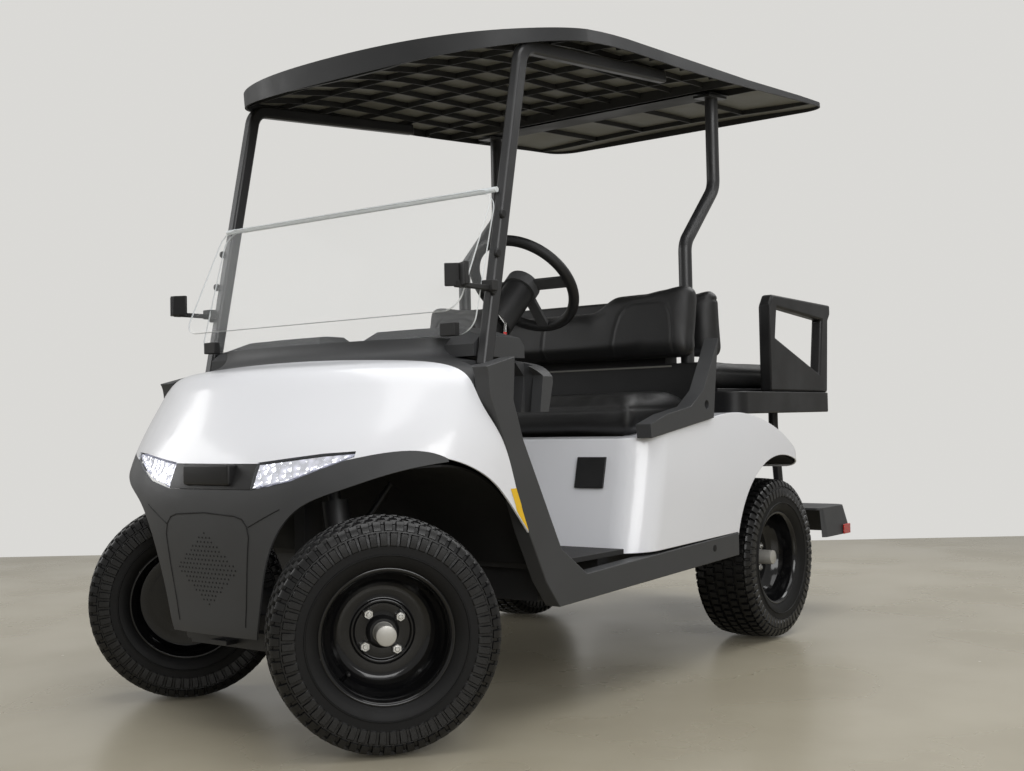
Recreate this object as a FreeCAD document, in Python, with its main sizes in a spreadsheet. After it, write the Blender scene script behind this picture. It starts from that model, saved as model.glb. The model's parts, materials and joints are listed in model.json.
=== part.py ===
"""Electric golf cart with a front bench, a rear-facing flip seat and a long canopy.

Millimetres. X runs across the cart with the driver's side at +X, the front of the
cart faces -Y and +Z is up. The origin lies on the floor under the middle of the
cart's bounding box. The front wheels stand steered to the cart's right.
"""
import FreeCAD, Part
import math
import os
import Sketcher

os.makedirs("parts", exist_ok=True)
doc = FreeCAD.newDocument("golf_cart")

# Driving dimensions, in millimetres and degrees

SIZES = [
    # layout
    ("wheelbase", 1669), ("front_kingpin", 341), ("front_scrub", 110), ("rear_half_track", 485),
    ("rear_overhang", 781), ("steer_rest", 40),
    # tyres and wheels
    ("tyre_r", 260), ("tyre_w", 200), ("shoulder_r", 30), ("bead_w", 164), ("rim_r", 150),
    ("rim_wall", 5), ("rim_lip", 8), ("well_r", 132), ("disc_depth", 62), ("disc_r", 98),
    ("disc_wall", 6), ("hub_r", 35), ("hub_nose_r", 25), ("hub_nose", 52), ("stud_circle_r", 50.8),
    ("spindle_r", 14), ("running_gap", 0.3), ("overrun", 20), ("seat_gap", 0.3),
    # front body shell
    ("chin_z", 235), ("cowl_top_z", 930), ("cowl_half", 592), ("nose_reach", 222),
    ("cowl_length", 682), ("cowl_curve", 2.3), ("panel", 5), ("panel_gap", 0.6),
    ("cowl_edge_y", 262), ("arch_top_z", 642), ("arch_low_z", 455), ("arch_step_y", 18),
    ("chin_half", 147), ("lamp_half", 388), ("lamp_inner", 146), ("lamp_low_z", 578),
    ("lamp_high_z", 662), ("lamp_depth", 48), ("liner_r", 364), ("liner_in", 226), ("liner_out", 540),
    # rear body shell
    ("bench_front_y", 755), ("bench_lean", 100), ("bench_top_z", 660), ("body_low_z", 325),
    ("body_half", 590), ("body_back_y", 1838), ("body_crest_z", 737), ("body_corner_r", 110),
    ("tail_corner_r", 70), ("rear_arch_r", 336), ("rear_arch_in", 375), ("hatch_half", 470),
    ("hatch_front", 880), ("hatch_back", 1230), ("port_x", 405), ("port_z", 575),
    ("port_w", 96), ("port_h", 86), ("port_t", 7),
    # rocker panels and floor
    ("rocker_in", 548), ("rocker_out", 592), ("rocker_front_y", 384), ("rocker_back_y", 1345),
    ("rocker_low_z", 267), ("rocker_high_z", 336), ("rocker_rise", 34), ("floor_z", 372),
    ("floor_t", 14), ("floor_half", 546), ("toe_y", 372), ("toe_top_y", 262), ("toe_top_z", 640),
    # dash
    ("dash_half", 545), ("dash_back_y", 440), ("dash_top_z", 912), ("dash_low_z", 745),
    ("dash_wall", 30), ("hood_half", 480), ("hood_z", 966), ("hood_front_y", 205), ("notch_half", 72),
    ("notch_z", 932), ("dash_side_y", 285), ("dash_flat_half", 370),
    # roof and its struts
    ("roof_front_y", 196), ("roof_length", 1960), ("roof_half", 585), ("roof_low_z", 1628),
    ("roof_slope", 5.7), ("roof_rim", 74), ("roof_crown", 14), ("roof_skin", 5), ("roof_bow", 420),
    ("roof_corner_r", 90), ("rib_t", 5), ("rib_depth", 16), ("beam_low", 12), ("grip_arch_half", 330),
    ("grip_arch_reach", 150), ("strut_x", 500), ("strut_depth", 36),
    ("strut_width", 28), ("strut_foot_y", 172), ("strut_foot_z", 640), ("strut_head_y", 399),
    ("strut_bend", 60), ("rail_length", 715), ("rear_strut_r", 21), ("rear_strut_x", 445),
    ("strut_pad_half", 30), ("strut_pad_l", 120), ("strut_pad_t", 8),
    ("rear_strut_y", 1516), ("rear_strut_low_y", 1316), ("rear_strut_bend", 70),
    ("strut_turn_low_z", 1270), ("strut_turn_high_z", 1470),
    # windscreen
    ("screen_t", 5), ("screen_half", 498), ("screen_low_y", 185), ("screen_low_z", 932),
    ("hinge_z", 1292), ("fold_low_y", 128), ("fold_low_z", 985),
    ("clip_w", 46), ("clip_h", 30), ("clip_d", 34), ("hinge_bar_r", 7),
    # chassis
    ("rail_x", 250), ("rail_w", 50), ("rail_h", 60), ("rail_z", 256), ("nose_rail_x", 120),
    ("nose_rail_w", 36), ("rail_front_y", 330), ("rail_back_y", 2010), ("nose_rail_y", 150), ("nose_rail_z", 200), ("rail_kick_y", 1300), ("rail_kick", 100),
    ("beam_z", 500),
    ("cross_w", 50), ("cross_h", 40), ("tower_z", 590), ("tower_w", 60), ("tower_out", 236),
    ("tower_plate", 8), ("hitch_r", 8), ("hitch_w", 80), ("hitch_l", 90), ("hitch_t", 10),
    ("tab_r", 8), ("tab_w", 60), ("tab_l", 34), ("tab_t", 10),
    # front suspension and steering
    ("arm_r", 13), ("arm_spread", 120), ("arm_z", 205), ("ball_r", 18), ("kingpin_r", 11),
    ("spring_r", 32), ("damper_r", 16), ("knuckle_h", 92), ("knuckle_r", 20),
    ("steer_arm", 100), ("steer_in", 20), ("rack_y", 75), ("rack_z", 284), ("rack_r", 12),
    ("rack_tube_r", 21), ("rack_tube_half", 138), ("eye_r", 17), ("eye_h", 20), ("stud_gap", 5),
    # steering column and wheel
    ("wheel_x", 270), ("wheel_y", 698), ("wheel_z", 1108), ("wheel_tilt", 43), ("grip_r", 154),
    ("grip_tube_r", 15), ("boss_r", 50), ("boss_t", 34), ("column_r", 21), ("column_l", 520),
    ("shroud_r", 44), ("shroud_l", 150), ("spoke_w", 34), ("spoke_t", 9),
    # pedals
    ("pedal_w", 80), ("pedal_h", 110), ("pedal_t", 12), ("pedal_gap", 60), ("pedal_arm_r", 8),
    # battery pack and rear axle
    ("battery_half", 200), ("battery_front", 900), ("battery_l", 330), ("battery_h", 250),
    ("axle_r", 32), ("gearbox_r", 88), ("gearbox_w", 150), ("motor_r", 82), ("motor_l", 220),
    ("flange_r", 62), ("leaf_w", 48), ("leaf_t", 10), ("leaf_x", 330), ("leaf_l", 640),
    ("leaf_sag", 60), ("shock_r", 20), ("shock_x", 302),
    # front seat
    ("seat_half", 556), ("seat_front_y", 838), ("seat_back_y", 1222), ("seat_low_z", 674),
    ("seat_high_z", 778), ("seat_fillet", 30), ("back_low_z", 892), ("back_high_z", 1124),
    ("back_y", 1150), ("back_lean", 45), ("back_t", 90), ("back_half", 540), ("back_fillet", 34),
    ("arm_in", 545), ("arm_out", 592), ("arm_hole_r", 13), ("arm_lift", 9), ("carrier_t", 40),
    # rear seat
    ("rear_back_y", 1412), ("rear_back_t", 96), ("rear_back_low", 905), ("rear_back_high", 1136),
    ("rear_back_half", 500), ("rear_seat_y", 1540), ("rear_seat_l", 600), ("rear_seat_half", 430),
    ("rear_seat_high", 905), ("deck_t", 12), ("pod_front_y", 1520),
    ("pod_back_y", 2272), ("pod_half", 520), ("pod_low_z", 735), ("pod_high_z", 806),
    ("pod_wall", 8), ("loop_x", 490), ("loop_w", 42), ("loop_top_z", 1130), ("loop_front_y", 1775),
    ("loop_back_y", 2290), ("loop_bar", 42), ("leg_r", 17), ("leg_x", 360), ("leg_y", 2150),
    ("frame_h", 46), ("plate_front_y", 2170), ("plate_half", 520), ("plate_z", 385),
    ("plate_t", 8), ("plate_skirt", 105), ("plate_corner_r", 60), ("reflector_w", 60),
    ("reflector_h", 36), ("reflector_t", 6), ("tail_lamp_w", 70), ("tail_lamp_h", 70),
    ("tail_lamp_t", 16),
]


class Size:
    """A number that also carries the sheet expression it comes from."""

    def __init__(self, value, words):
        self.value = float(value)
        self.words = words

    def __float__(self):
        return self.value

    def __add__(self, other):
        return Size(self.value + number(other), f"({self.words} + {words(other)})")

    def __radd__(self, other):
        return Size(number(other) + self.value, f"({words(other)} + {self.words})")

    def __sub__(self, other):
        return Size(self.value - number(other), f"({self.words} - {words(other)})")

    def __rsub__(self, other):
        return Size(number(other) - self.value, f"({words(other)} - {self.words})")

    def __mul__(self, other):
        return Size(self.value * number(other), f"({self.words} * {words(other)})")

    def __rmul__(self, other):
        return Size(number(other) * self.value, f"({words(other)} * {self.words})")

    def __truediv__(self, other):
        return Size(self.value / number(other), f"({self.words} / {words(other)})")

    def __rtruediv__(self, other):
        return Size(number(other) / self.value, f"({words(other)} / {self.words})")

    def __neg__(self):
        return Size(-self.value, f"(-1 * {self.words})")


def number(thing):
    """The plain number of a size or of a number."""
    return float(thing)


def words(thing):
    """The sheet expression of a size or of a number."""
    return thing.words if isinstance(thing, Size) else repr(float(thing))


def sine(angle):
    return Size(math.sin(math.radians(angle.value)), f"sin({angle.words})")


def cosine(angle):
    return Size(math.cos(math.radians(angle.value)), f"cos({angle.words})")


class Named:
    """The sizes of the sheet, each under its alias."""


D = Named()
sheet = doc.addObject("Spreadsheet::Sheet", "Sizes")
for row, (alias, value) in enumerate(SIZES, start=1):
    sheet.set(f"A{row}", alias)
    sheet.set(f"B{row}", str(value))
    sheet.setAlias(f"B{row}", alias)
    setattr(D, alias, Size(value, f"Sizes.{alias}"))
doc.recompute()

# Places that follow from the driving dimensions

TYRE_REACH = (D.front_scrub * sine(D.steer_rest) + (D.tyre_r - D.shoulder_r) * cosine(D.steer_rest)
              + (D.tyre_w / 2 - D.shoulder_r) * sine(D.steer_rest) + D.shoulder_r)
TOTAL = TYRE_REACH + D.wheelbase + D.rear_overhang
FRONT = TYRE_REACH - TOTAL / 2
REAR = FRONT + D.wheelbase
ZERO = Size(0, "0")


def vec(x, y, z):
    return FreeCAD.Vector(number(x), number(y), number(z))


# Ways of making a piece

def bind(thing, prop, size):
    thing.setExpression(prop, words(size))


def place(thing, x, y, z):
    """Bind a piece's place to sizes."""
    for letter, size in zip("xyz", (x, y, z)):
        thing.setExpression(f"Placement.Base.{letter}", words(size))


def box(name, x, y, z):
    """A box from three (low, high) pairs."""
    thing = doc.addObject("Part::Box", name)
    for prop, (low, high) in zip(("Length", "Width", "Height"), (x, y, z)):
        bind(thing, prop, high - low)
    place(thing, x[0], y[0], z[0])
    return thing


TURNS = {"X": ((0, 1, 0), 90), "Y": ((1, 0, 0), -90), "Z": ((0, 0, 1), 0)}


def rod(name, way, start, radius, length):
    """A cylinder from its start point along +X, +Y or +Z."""
    thing = doc.addObject("Part::Cylinder", name)
    bind(thing, "Radius", radius)
    bind(thing, "Height", length)
    axis, angle = TURNS[way]
    thing.Placement = FreeCAD.Placement(vec(0, 0, 0), FreeCAD.Rotation(FreeCAD.Vector(*axis), angle))
    place(thing, *start)
    return thing


def fuse(name, things):
    thing = doc.addObject("Part::MultiFuse", name)
    thing.Shapes = things
    return thing


def cut(name, base, tool):
    thing = doc.addObject("Part::Cut", name)
    thing.Base = base
    thing.Tool = tool
    return thing


def mirror(name, source):
    """The same piece on the other side of the cart."""
    thing = doc.addObject("Part::Mirroring", name)
    thing.Source = source
    thing.Normal = FreeCAD.Vector(1, 0, 0)
    return thing


def pair(name, source):
    """A piece and its twin on the other side, as one node."""
    return fuse(name, [source, mirror(name + "_twin", source)])


def feature(name, shape):
    thing = doc.addObject("Part::Feature", name)
    thing.Shape = shape
    return thing


def origin_plane(body, role):
    return [item for item in body.Origin.OriginFeatures if item.Role == role][0]


def outline(body, role, points):
    """A closed sketch whose corners are pinned to their sizes."""
    sketch = body.newObject("Sketcher::SketchObject", body.Name + "_outline")
    sketch.AttachmentSupport = (origin_plane(body, role), [""])
    sketch.MapMode = "FlatFace"
    count = len(points)
    for index in range(count):
        here = points[index]
        after = points[(index + 1) % count]
        sketch.addGeometry(Part.LineSegment(vec(here[0], here[1], 0), vec(after[0], after[1], 0)), False)
    for index in range(count):
        sketch.addConstraint(Sketcher.Constraint("Coincident", index, 2, (index + 1) % count, 1))
    for index in range(count):
        for kind, size in zip(("DistanceX", "DistanceY"), points[index]):
            mark = sketch.addConstraint(Sketcher.Constraint(kind, -1, 1, index, 1, number(size)))
            sketch.setExpression(f"Constraints[{mark}]", words(size))
    return sketch


def slab(name, way, points, low, high, fillet=None):
    """A profile seen along X, Y or Z, padded from low to high along that way."""
    body = doc.addObject("PartDesign::Body", name)
    role = {"X": "YZ_Plane", "Y": "XZ_Plane", "Z": "XY_Plane"}[way]
    sketch = outline(body, role, points)
    pad = body.newObject("PartDesign::Pad", name + "_pad")
    pad.Profile = sketch
    bind(pad, "Length", high - low)
    if fillet is not None:
        doc.recompute()
        rounding = body.newObject("PartDesign::Fillet", name + "_rounding")
        rounding.Base = (pad, ["Face1"])
        rounding.UseAllEdges = True
        bind(rounding, "Radius", fillet)
    start = high if way == "Y" else low
    place(body, *[start if letter == way else ZERO for letter in "XYZ"])
    return body


def turned(name, points):
    """A profile of (radius, height) points revolved about its own axis."""
    body = doc.addObject("PartDesign::Body", name)
    sketch = outline(body, "XZ_Plane", points)
    spin = body.newObject("PartDesign::Revolution", name + "_spin")
    spin.Profile = sketch
    spin.ReferenceAxis = (sketch, ["V_Axis"])
    spin.Angle = 360
    return body


def path_wire(points, bend):
    """Straight runs through the points, joined by tangent arcs."""
    corners = [vec(*point) for point in points]
    edges = []
    start = corners[0]
    for before, here, after in zip(corners, corners[1:], corners[2:]):
        back = (before - here).normalize()
        ahead = (after - here).normalize()
        half = back.getAngle(ahead) / 2
        reach = number(bend) / math.tan(half)
        middle = (back + ahead).normalize() * (number(bend) / math.sin(half) - number(bend))
        first = here + back * reach
        last = here + ahead * reach
        edges.append(Part.LineSegment(start, first).toShape())
        edges.append(Part.Arc(first, here + middle, last).toShape())
        start = last
    edges.append(Part.LineSegment(start, corners[-1]).toShape())
    return Part.Wire(edges)


def swept(profile, path):
    """A profile carried along a path, as one solid."""
    pipe = Part.BRepOffsetAPI.MakePipeShell(path)
    pipe.add(profile)
    pipe.build()
    pipe.makeSolid()
    solid = pipe.shape()
    if solid.Volume < 0:
        solid.reverse()
    return solid


def bent_rod(points, radius, bend):
    """A round bar along straight runs and arcs."""
    path = path_wire(points, bend)
    start = vec(*points[0])
    way = (vec(*points[1]) - start).normalize()
    circle = Part.Wire([Part.Circle(start, way, number(radius)).toShape()])
    return swept(circle, path)


def smooth_edge(points):
    curve = Part.BSplineCurve()
    curve.interpolate(points)
    return curve.toShape()


def prism(way, curve, corners, low, high):
    """A closed outline, part smooth curve and part corners, carried from low to high."""
    def spot(point):
        first, second = number(point[0]), number(point[1])
        if way == "X":
            return FreeCAD.Vector(number(low), first, second)
        if way == "Y":
            return FreeCAD.Vector(first, number(low), second)
        return FreeCAD.Vector(first, second, number(low))
    smooth = [spot(point) for point in curve]
    sharp = [spot(point) for point in corners]
    edges = [smooth_edge(smooth)] if len(smooth) > 1 else []
    ring = ([smooth[-1]] if smooth else []) + sharp + [smooth[0] if smooth else sharp[0]]
    for here, after in zip(ring, ring[1:]):
        edges.append(Part.LineSegment(here, after).toShape())
    reach = number(high) - number(low)
    way_vector = {"X": (reach, 0, 0), "Y": (0, reach, 0), "Z": (0, 0, reach)}[way]
    return Part.Face(Part.Wire(edges)).extrude(FreeCAD.Vector(*way_vector))


def both_sides(shape):
    return Part.makeCompound([shape, shape.mirror(vec(0, 0, 0), FreeCAD.Vector(1, 0, 0))])


def solid_box(x, y, z):
    low = vec(x[0], y[0], z[0])
    high = vec(x[1], y[1], z[1])
    size = high - low
    return Part.makeBox(size.x, size.y, size.z, low)


NODES = []


def node(thing, name):
    thing.Label = name
    NODES.append(thing)
    return thing


# Front body shell: horizontal slices of one hull, from the chin to the top of the cowl

HULL_SHARES = [
    # height, setback of the nose, half width
    (0.0, 0.032, 1.0), (0.1, 0.0215, 1.0), (0.2, 0.0115, 1.0), (0.3, 0.003, 1.0), (0.4, 0.001, 1.0),
    (0.5, 0.014, 1.0), (0.6, 0.059, 0.997), (0.7, 0.128, 0.983), (0.8, 0.203, 0.952),
    (0.9, 0.300, 0.872), (1.0, 0.470, 0.660),
]
HULL_SIDE_SHARE = 0.502
HULL_SIDE_TOP_SHARE = 0.640
HULL_STEPS = 14


def hull_slice(height_share, setback_share, half_share, inset):
    """One level of the hull: a superellipse nose with straight sides and back."""
    inset = number(inset)
    top = number(D.cowl_top_z) - inset
    low = number(D.chin_z)
    level = low + height_share * (top - low)
    nose = number(FRONT - D.nose_reach + D.cowl_length * setback_share) + inset
    side = number(FRONT - D.nose_reach
                  + D.cowl_length * (HULL_SIDE_SHARE
                                     + (HULL_SIDE_TOP_SHARE - HULL_SIDE_SHARE) * height_share))
    back = number(FRONT - D.nose_reach + D.cowl_length) + (number(D.overrun) if inset else 0)
    half = number(D.cowl_half * half_share) - inset
    power = 2 / number(D.cowl_curve)
    points = []
    for step in range(HULL_STEPS + 1):
        angle = math.pi * (1 - step / HULL_STEPS)
        across = math.copysign(abs(math.cos(angle)) ** power, math.cos(angle))
        ahead = abs(math.sin(angle)) ** power
        points.append(FreeCAD.Vector(half * across, side - (side - nose) * ahead, level))
    corner = [FreeCAD.Vector(half, back, level), FreeCAD.Vector(-half, back, level)]
    return Part.Wire([smooth_edge(points), Part.LineSegment(points[-1], corner[0]).toShape(),
                      Part.LineSegment(corner[0], corner[1]).toShape(),
                      Part.LineSegment(corner[1], points[0]).toShape()])


def hull(inset):
    return Part.makeLoft([hull_slice(*shares, inset) for shares in HULL_SHARES], True, False)


def cowl_edge(gap):
    """The cowl's rear edge in side view, set back by a gap, from top to tip."""
    base = FRONT + gap
    shares = [(0.13, 1.04), (0.20, 0.973), (0.286, 0.942), (0.416, 0.914), (0.477, 0.832),
              (0.653, 0.731), (0.809, 0.617), (1.0, 0.49)]
    return [(base + D.cowl_edge_y * along, D.cowl_top_z * up) for along, up in shares]


def beside_edge(gap, way):
    """The region behind the cowl's rear edge, or ahead of it, in side view."""
    far = FRONT + way * D.cowl_length * 2
    wide = D.cowl_half + D.overrun
    return prism("X", cowl_edge(gap), [(far, D.arch_low_z), (far, D.cowl_top_z * 1.04)], -wide, wide)


ARCH_FRONT_SHARES = [(1.0, 1.0), (0.811, 0.96), (0.642, 0.903), (0.473, 0.835), (0.372, 0.73), (0.287, 0.514),
                     (0.25, 0.366)]
ARCH_SIDE_SHARES = [(0.0, 1.0), (0.265, 0.958), (0.56, 0.882), (0.87, 0.765), (1.0, 0.712)]


def front_arch_cutter():
    """What the wheel arches take from the hull: a front-view and a side-view part."""
    low = D.chin_z - D.overrun
    wide = D.cowl_half + D.overrun
    step = FRONT + D.arch_step_y
    front = prism("Y", [(D.cowl_half * across, D.arch_top_z * up) for across, up in ARCH_FRONT_SHARES],
                  [(D.chin_half, low), (wide, low), (wide, D.arch_top_z)],
                  FRONT - D.nose_reach - D.overrun, step)
    reach = D.cowl_edge_y - D.arch_step_y
    side = prism("X", [(step + reach * along, D.arch_top_z * up) for along, up in ARCH_SIDE_SHARES],
                 [(FRONT + D.cowl_edge_y + D.cowl_length, D.arch_top_z * ARCH_SIDE_SHARES[-1][1]),
                  (FRONT + D.cowl_edge_y + D.cowl_length, low), (step, low)],
                 D.chin_half, wide)
    return both_sides(front.fuse(side))


def lamp_window(grow):
    """The front-view outline of one headlamp, grown by a gap."""
    high = D.lamp_high_z + grow
    low = D.lamp_low_z - grow
    rise = D.lamp_high_z - D.lamp_low_z
    points = [(D.lamp_inner - grow, low), (D.lamp_inner - grow, high - rise * 0.28),
              (D.lamp_half - D.lamp_inner * 0.5, high - rise * 0.05), (D.lamp_half + grow, high),
              (D.lamp_half + grow, high - rise * 0.14), (D.lamp_half - D.lamp_inner, low + rise * 0.20)]
    return prism("Y", [], points, FRONT - D.nose_reach - D.overrun, FRONT)


def lamp_panel_window(grow):
    """The front-view outline of the black panel between the lamps."""
    half = D.lamp_inner - D.panel_gap * 2 + grow
    rise = D.lamp_high_z - D.lamp_low_z
    return prism("Y", [], [(-half, D.lamp_low_z - grow), (half, D.lamp_low_z - grow),
                           (half, D.lamp_high_z - rise * 0.30 + grow),
                           (-half, D.lamp_high_z - rise * 0.30 + grow)],
                 FRONT - D.nose_reach - D.overrun, FRONT)


SPLIT_SHARES = [(1.3, 0.985), (0.70, 0.995), (0.44, 1.025), (0.29, 1.031), (0.0, 1.0)]


def below_split(gap):
    """The region of the grey fascia in side view: under the cowl's lower edge."""
    points = [(FRONT + D.arch_step_y - D.nose_reach * along, D.arch_top_z * up - gap)
              for along, up in SPLIT_SHARES]
    corners = [(FRONT + D.arch_step_y, D.chin_z - D.overrun),
               (FRONT - D.nose_reach * 1.3, D.chin_z - D.overrun)]
    wide = D.cowl_half + D.overrun
    return prism("X", points, corners, -wide, wide)


def front_shells():
    """The white cowl and the grey fascia, cut from one skin."""
    skin = hull(ZERO).cut(hull(D.panel))
    skin = skin.cut(beside_edge(ZERO, 1)).cut(front_arch_cutter())
    for shift in (-D.panel_gap, D.panel_gap):
        window = lamp_window(D.panel_gap)
        window.translate(vec(0, 0, shift))
        skin = skin.cut(both_sides(window))
    skin = skin.cut(lamp_panel_window(D.panel_gap))
    grey = skin.common(below_split(D.panel_gap / 2))
    white = skin.cut(below_split(-D.panel_gap / 2))
    return white, grey


white_shell, grey_shell = front_shells()
node(feature("Cowl", white_shell), "front_cowl")
node(feature("Fascia", grey_shell), "front_fascia")


def lamps_and_panel():
    ring = hull(D.panel_gap).cut(hull(D.lamp_depth))
    lens = both_sides(ring.common(lamp_window(ZERO)))
    panel = ring.common(lamp_panel_window(ZERO))
    return lens, panel


lens_shape, panel_shape = lamps_and_panel()
node(feature("Headlamps", lens_shape), "headlamps")
node(feature("LampPanel", panel_shape), "lamp_panel")


def arch_liner():
    """One front wheel house: a curved sheet over the tyre, inside the fender."""
    outer = Part.makeCylinder(number(D.liner_r + D.panel), number(D.liner_out - D.liner_in),
                              vec(D.liner_in, FRONT, D.tyre_r), FreeCAD.Vector(1, 0, 0))
    inner = Part.makeCylinder(number(D.liner_r), number(D.liner_out - D.liner_in) + 2 * number(D.overrun),
                              vec(D.liner_in - D.overrun, FRONT, D.tyre_r), FreeCAD.Vector(1, 0, 0))
    sheet_ring = outer.cut(inner)
    keep = solid_box((D.liner_in - D.overrun, D.liner_out + D.overrun),
                     (FRONT - D.nose_reach * 0.4, FRONT + D.cowl_length), (D.floor_z, D.cowl_top_z))
    return sheet_ring.common(keep).common(hull(D.panel + D.panel_gap))


node(feature("Liners", both_sides(arch_liner())), "front_wheel_liners")

# Dash: the hull carried on behind the cowl, open below


COLUMN_TOP = (D.wheel_x, FRONT + D.wheel_y, D.wheel_z)
COLUMN_WAY = vec(0, cosine(D.wheel_tilt), sine(D.wheel_tilt))

# The line of the steering column and of the shaft below it


def link(start, end, radius):
    """A straight round bar between two points."""
    first = vec(*start)
    last = vec(*end)
    return Part.makeCylinder(number(radius), (last - first).Length, first, last - first)


def steering_shaft(radius):
    """The jointed shaft from the column's foot to the rack."""
    start = vec(*COLUMN_TOP) - COLUMN_WAY * number(D.boss_t + D.panel_gap + D.column_l)
    goal = (D.rack_tube_half * 0.6, FRONT + D.rack_y, D.rack_z + D.rack_tube_r + D.column_r * 0.4)
    return link(start, goal, radius)


def dash_hood():
    """The raised pad on the dash, in two halves beside a notch."""
    foot_z = D.dash_top_z - D.dash_wall
    side_view = [(FRONT + D.hood_front_y, foot_z), (FRONT + D.hood_front_y, D.dash_top_z - D.panel_gap),
                 (FRONT + D.hood_front_y + (D.hood_z - D.dash_top_z) * 1.2, D.hood_z - D.panel_gap * 4),
                 (FRONT + D.hood_front_y + (D.hood_z - D.dash_top_z) * 1.7, D.hood_z),
                 (FRONT + D.hood_front_y + (D.hood_z - D.dash_top_z) * 2.9, D.hood_z),
                 (FRONT + D.dash_back_y - D.dash_wall, D.dash_top_z),
                 (FRONT + D.dash_back_y - D.dash_wall, foot_z)]
    front_view = [(-D.hood_half, foot_z), (-D.hood_half, D.notch_z), (-D.hood_half * 0.8, D.hood_z - D.panel_gap * 8),
                  (-D.notch_half * 1.5, D.hood_z), (-D.notch_half, D.notch_z), (D.notch_half, D.notch_z),
                  (D.notch_half * 1.5, D.hood_z), (D.hood_half * 0.8, D.hood_z - D.panel_gap * 8),
                  (D.hood_half, D.notch_z), (D.hood_half, foot_z)]
    along = prism("X", [], side_view, -D.hood_half, D.hood_half)
    across = prism("Y", [], front_view, FRONT, FRONT + D.dash_back_y)
    return along.common(across)


def dash_shape():
    back = FRONT + D.dash_back_y
    high = D.dash_top_z
    drop = D.dash_top_z - D.dash_low_z
    rise = D.cowl_top_z - D.dash_top_z
    wall = D.dash_wall
    corners = [(FRONT, D.strut_foot_z), (FRONT + D.toe_top_y - D.floor_t - D.panel_gap, D.strut_foot_z),
               (FRONT + D.toe_top_y - D.floor_t - D.panel_gap, high - wall),
               (back - wall * 3, high - wall), (back - wall * 1.4, high - drop * 0.45),
               (back - wall * 1.9, D.dash_low_z), (back - wall * 0.7, D.dash_low_z),
               (back, high - drop * 0.55), (back - wall * 0.3, high - drop * 0.12),
               (back - wall * 1.3, high + rise * 0.3), (FRONT + D.dash_back_y * 0.5, D.cowl_top_z),
               (FRONT, D.cowl_top_z)]
    shape = prism("X", [], corners, -D.dash_half, D.dash_half)
    shape = shape.common(hull(D.panel_gap)).common(beside_edge(D.panel_gap, 1)).fuse(dash_hood()).removeSplitter()
    for side in (-1, 1):
        middle = side * D.strut_x
        shape = shape.cut(solid_box((middle - D.strut_width / 2 - D.panel_gap,
                                     middle + D.strut_width / 2 + D.panel_gap),
                                    (FRONT + D.strut_foot_y - D.strut_depth / 2 - D.panel_gap * 4,
                                     FRONT + D.strut_head_y), (D.strut_foot_z - D.overrun, D.roof_low_z)))
    column = Part.makeCylinder(number(D.column_r + D.panel_gap), number(D.column_l * 2), vec(*COLUMN_TOP),
                               COLUMN_WAY * -1)
    return shape.cut(column).cut(steering_shaft(D.column_r + D.panel_gap))


node(feature("Dash", dash_shape()), "dash")

# Rocker panels with the trim that climbs the cowl's rear edge


def rocker():
    gap = D.panel_gap
    edge = cowl_edge(gap)
    low = D.rocker_low_z
    high = D.rocker_high_z
    front = FRONT + D.rocker_front_y
    back = FRONT + D.rocker_back_y
    reach = D.rocker_front_y - D.cowl_edge_y
    inner_foot = (front + reach, high)
    points = [edge[3], edge[4], edge[5], edge[6], edge[7],
              (FRONT + D.cowl_edge_y + reach * 0.55, low + (edge[7][1] - low) * 0.35), (front, low),
              (back, low + D.rocker_rise), (back, high + D.rocker_rise),
              inner_foot, (front + reach * 0.1, high + (edge[7][1] - high) * 0.6),
              (edge[7][0] + reach * 0.35, edge[6][1]), (edge[6][0] + reach * 0.28, edge[5][1]),
              (edge[5][0] + reach * 0.33, edge[4][1]), (edge[4][0] + reach * 0.78, edge[2][1])]
    strip = slab("Rocker", "X", points, D.rocker_in, D.rocker_out)
    return cut("RockerTrimmed", strip, feature("RockerEdge", beside_edge(gap, -1)))


node(pair("Rockers", rocker()), "rocker_panels")

# Floor, toe board and mat in one bent sheet

toe_run = D.toe_y - D.toe_top_y
floor_sheet = slab("Floor", "X", [
    (FRONT + D.toe_y, D.floor_z), (FRONT + D.toe_top_y, D.toe_top_z),
    (FRONT + D.toe_top_y - D.floor_t, D.toe_top_z),
    (FRONT + D.toe_y - D.floor_t, D.floor_z - D.floor_t),
    (FRONT + D.bench_front_y - D.panel_gap, D.floor_z - D.floor_t),
    (FRONT + D.bench_front_y - D.panel_gap, D.floor_z)], -D.floor_half, D.floor_half)
node(cut("FloorWithHole", floor_sheet, feature("ShaftHole", steering_shaft(D.column_r))), "floor_pan")

# Rear body: rounded slices, trimmed by the side view, with wheel arches and a hatch


def rounded_ring(front, back, half, front_r, back_r, level):
    """A plan outline with rounded corners at one level."""
    front, back, half, level = number(front), number(back), number(half), number(level)
    edges = []
    corners = [(half, front, front_r), (half, back, back_r), (-half, back, back_r), (-half, front, front_r)]
    middle = FreeCAD.Vector(0, (front + back) / 2, level)
    starts = []
    for index, (x, y, radius) in enumerate(corners):
        radius = number(radius)
        here = FreeCAD.Vector(x, y, level)
        inward = FreeCAD.Vector(-math.copysign(radius, x), math.copysign(radius, middle.y - y), 0)
        centre = here + inward
        along_y = FreeCAD.Vector(x, centre.y, level)
        along_x = FreeCAD.Vector(centre.x, y, level)
        bulge = centre - inward * (1 / math.sqrt(2))
        first, last = (along_x, along_y) if index % 2 == 0 else (along_y, along_x)
        starts.append((first, bulge, last))
    for index, (first, bulge, last) in enumerate(starts):
        edges.append(Part.Arc(first, bulge, last).toShape())
        after = starts[(index + 1) % len(starts)][0]
        edges.append(Part.LineSegment(last, after).toShape())
    return Part.Wire(edges)


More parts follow.
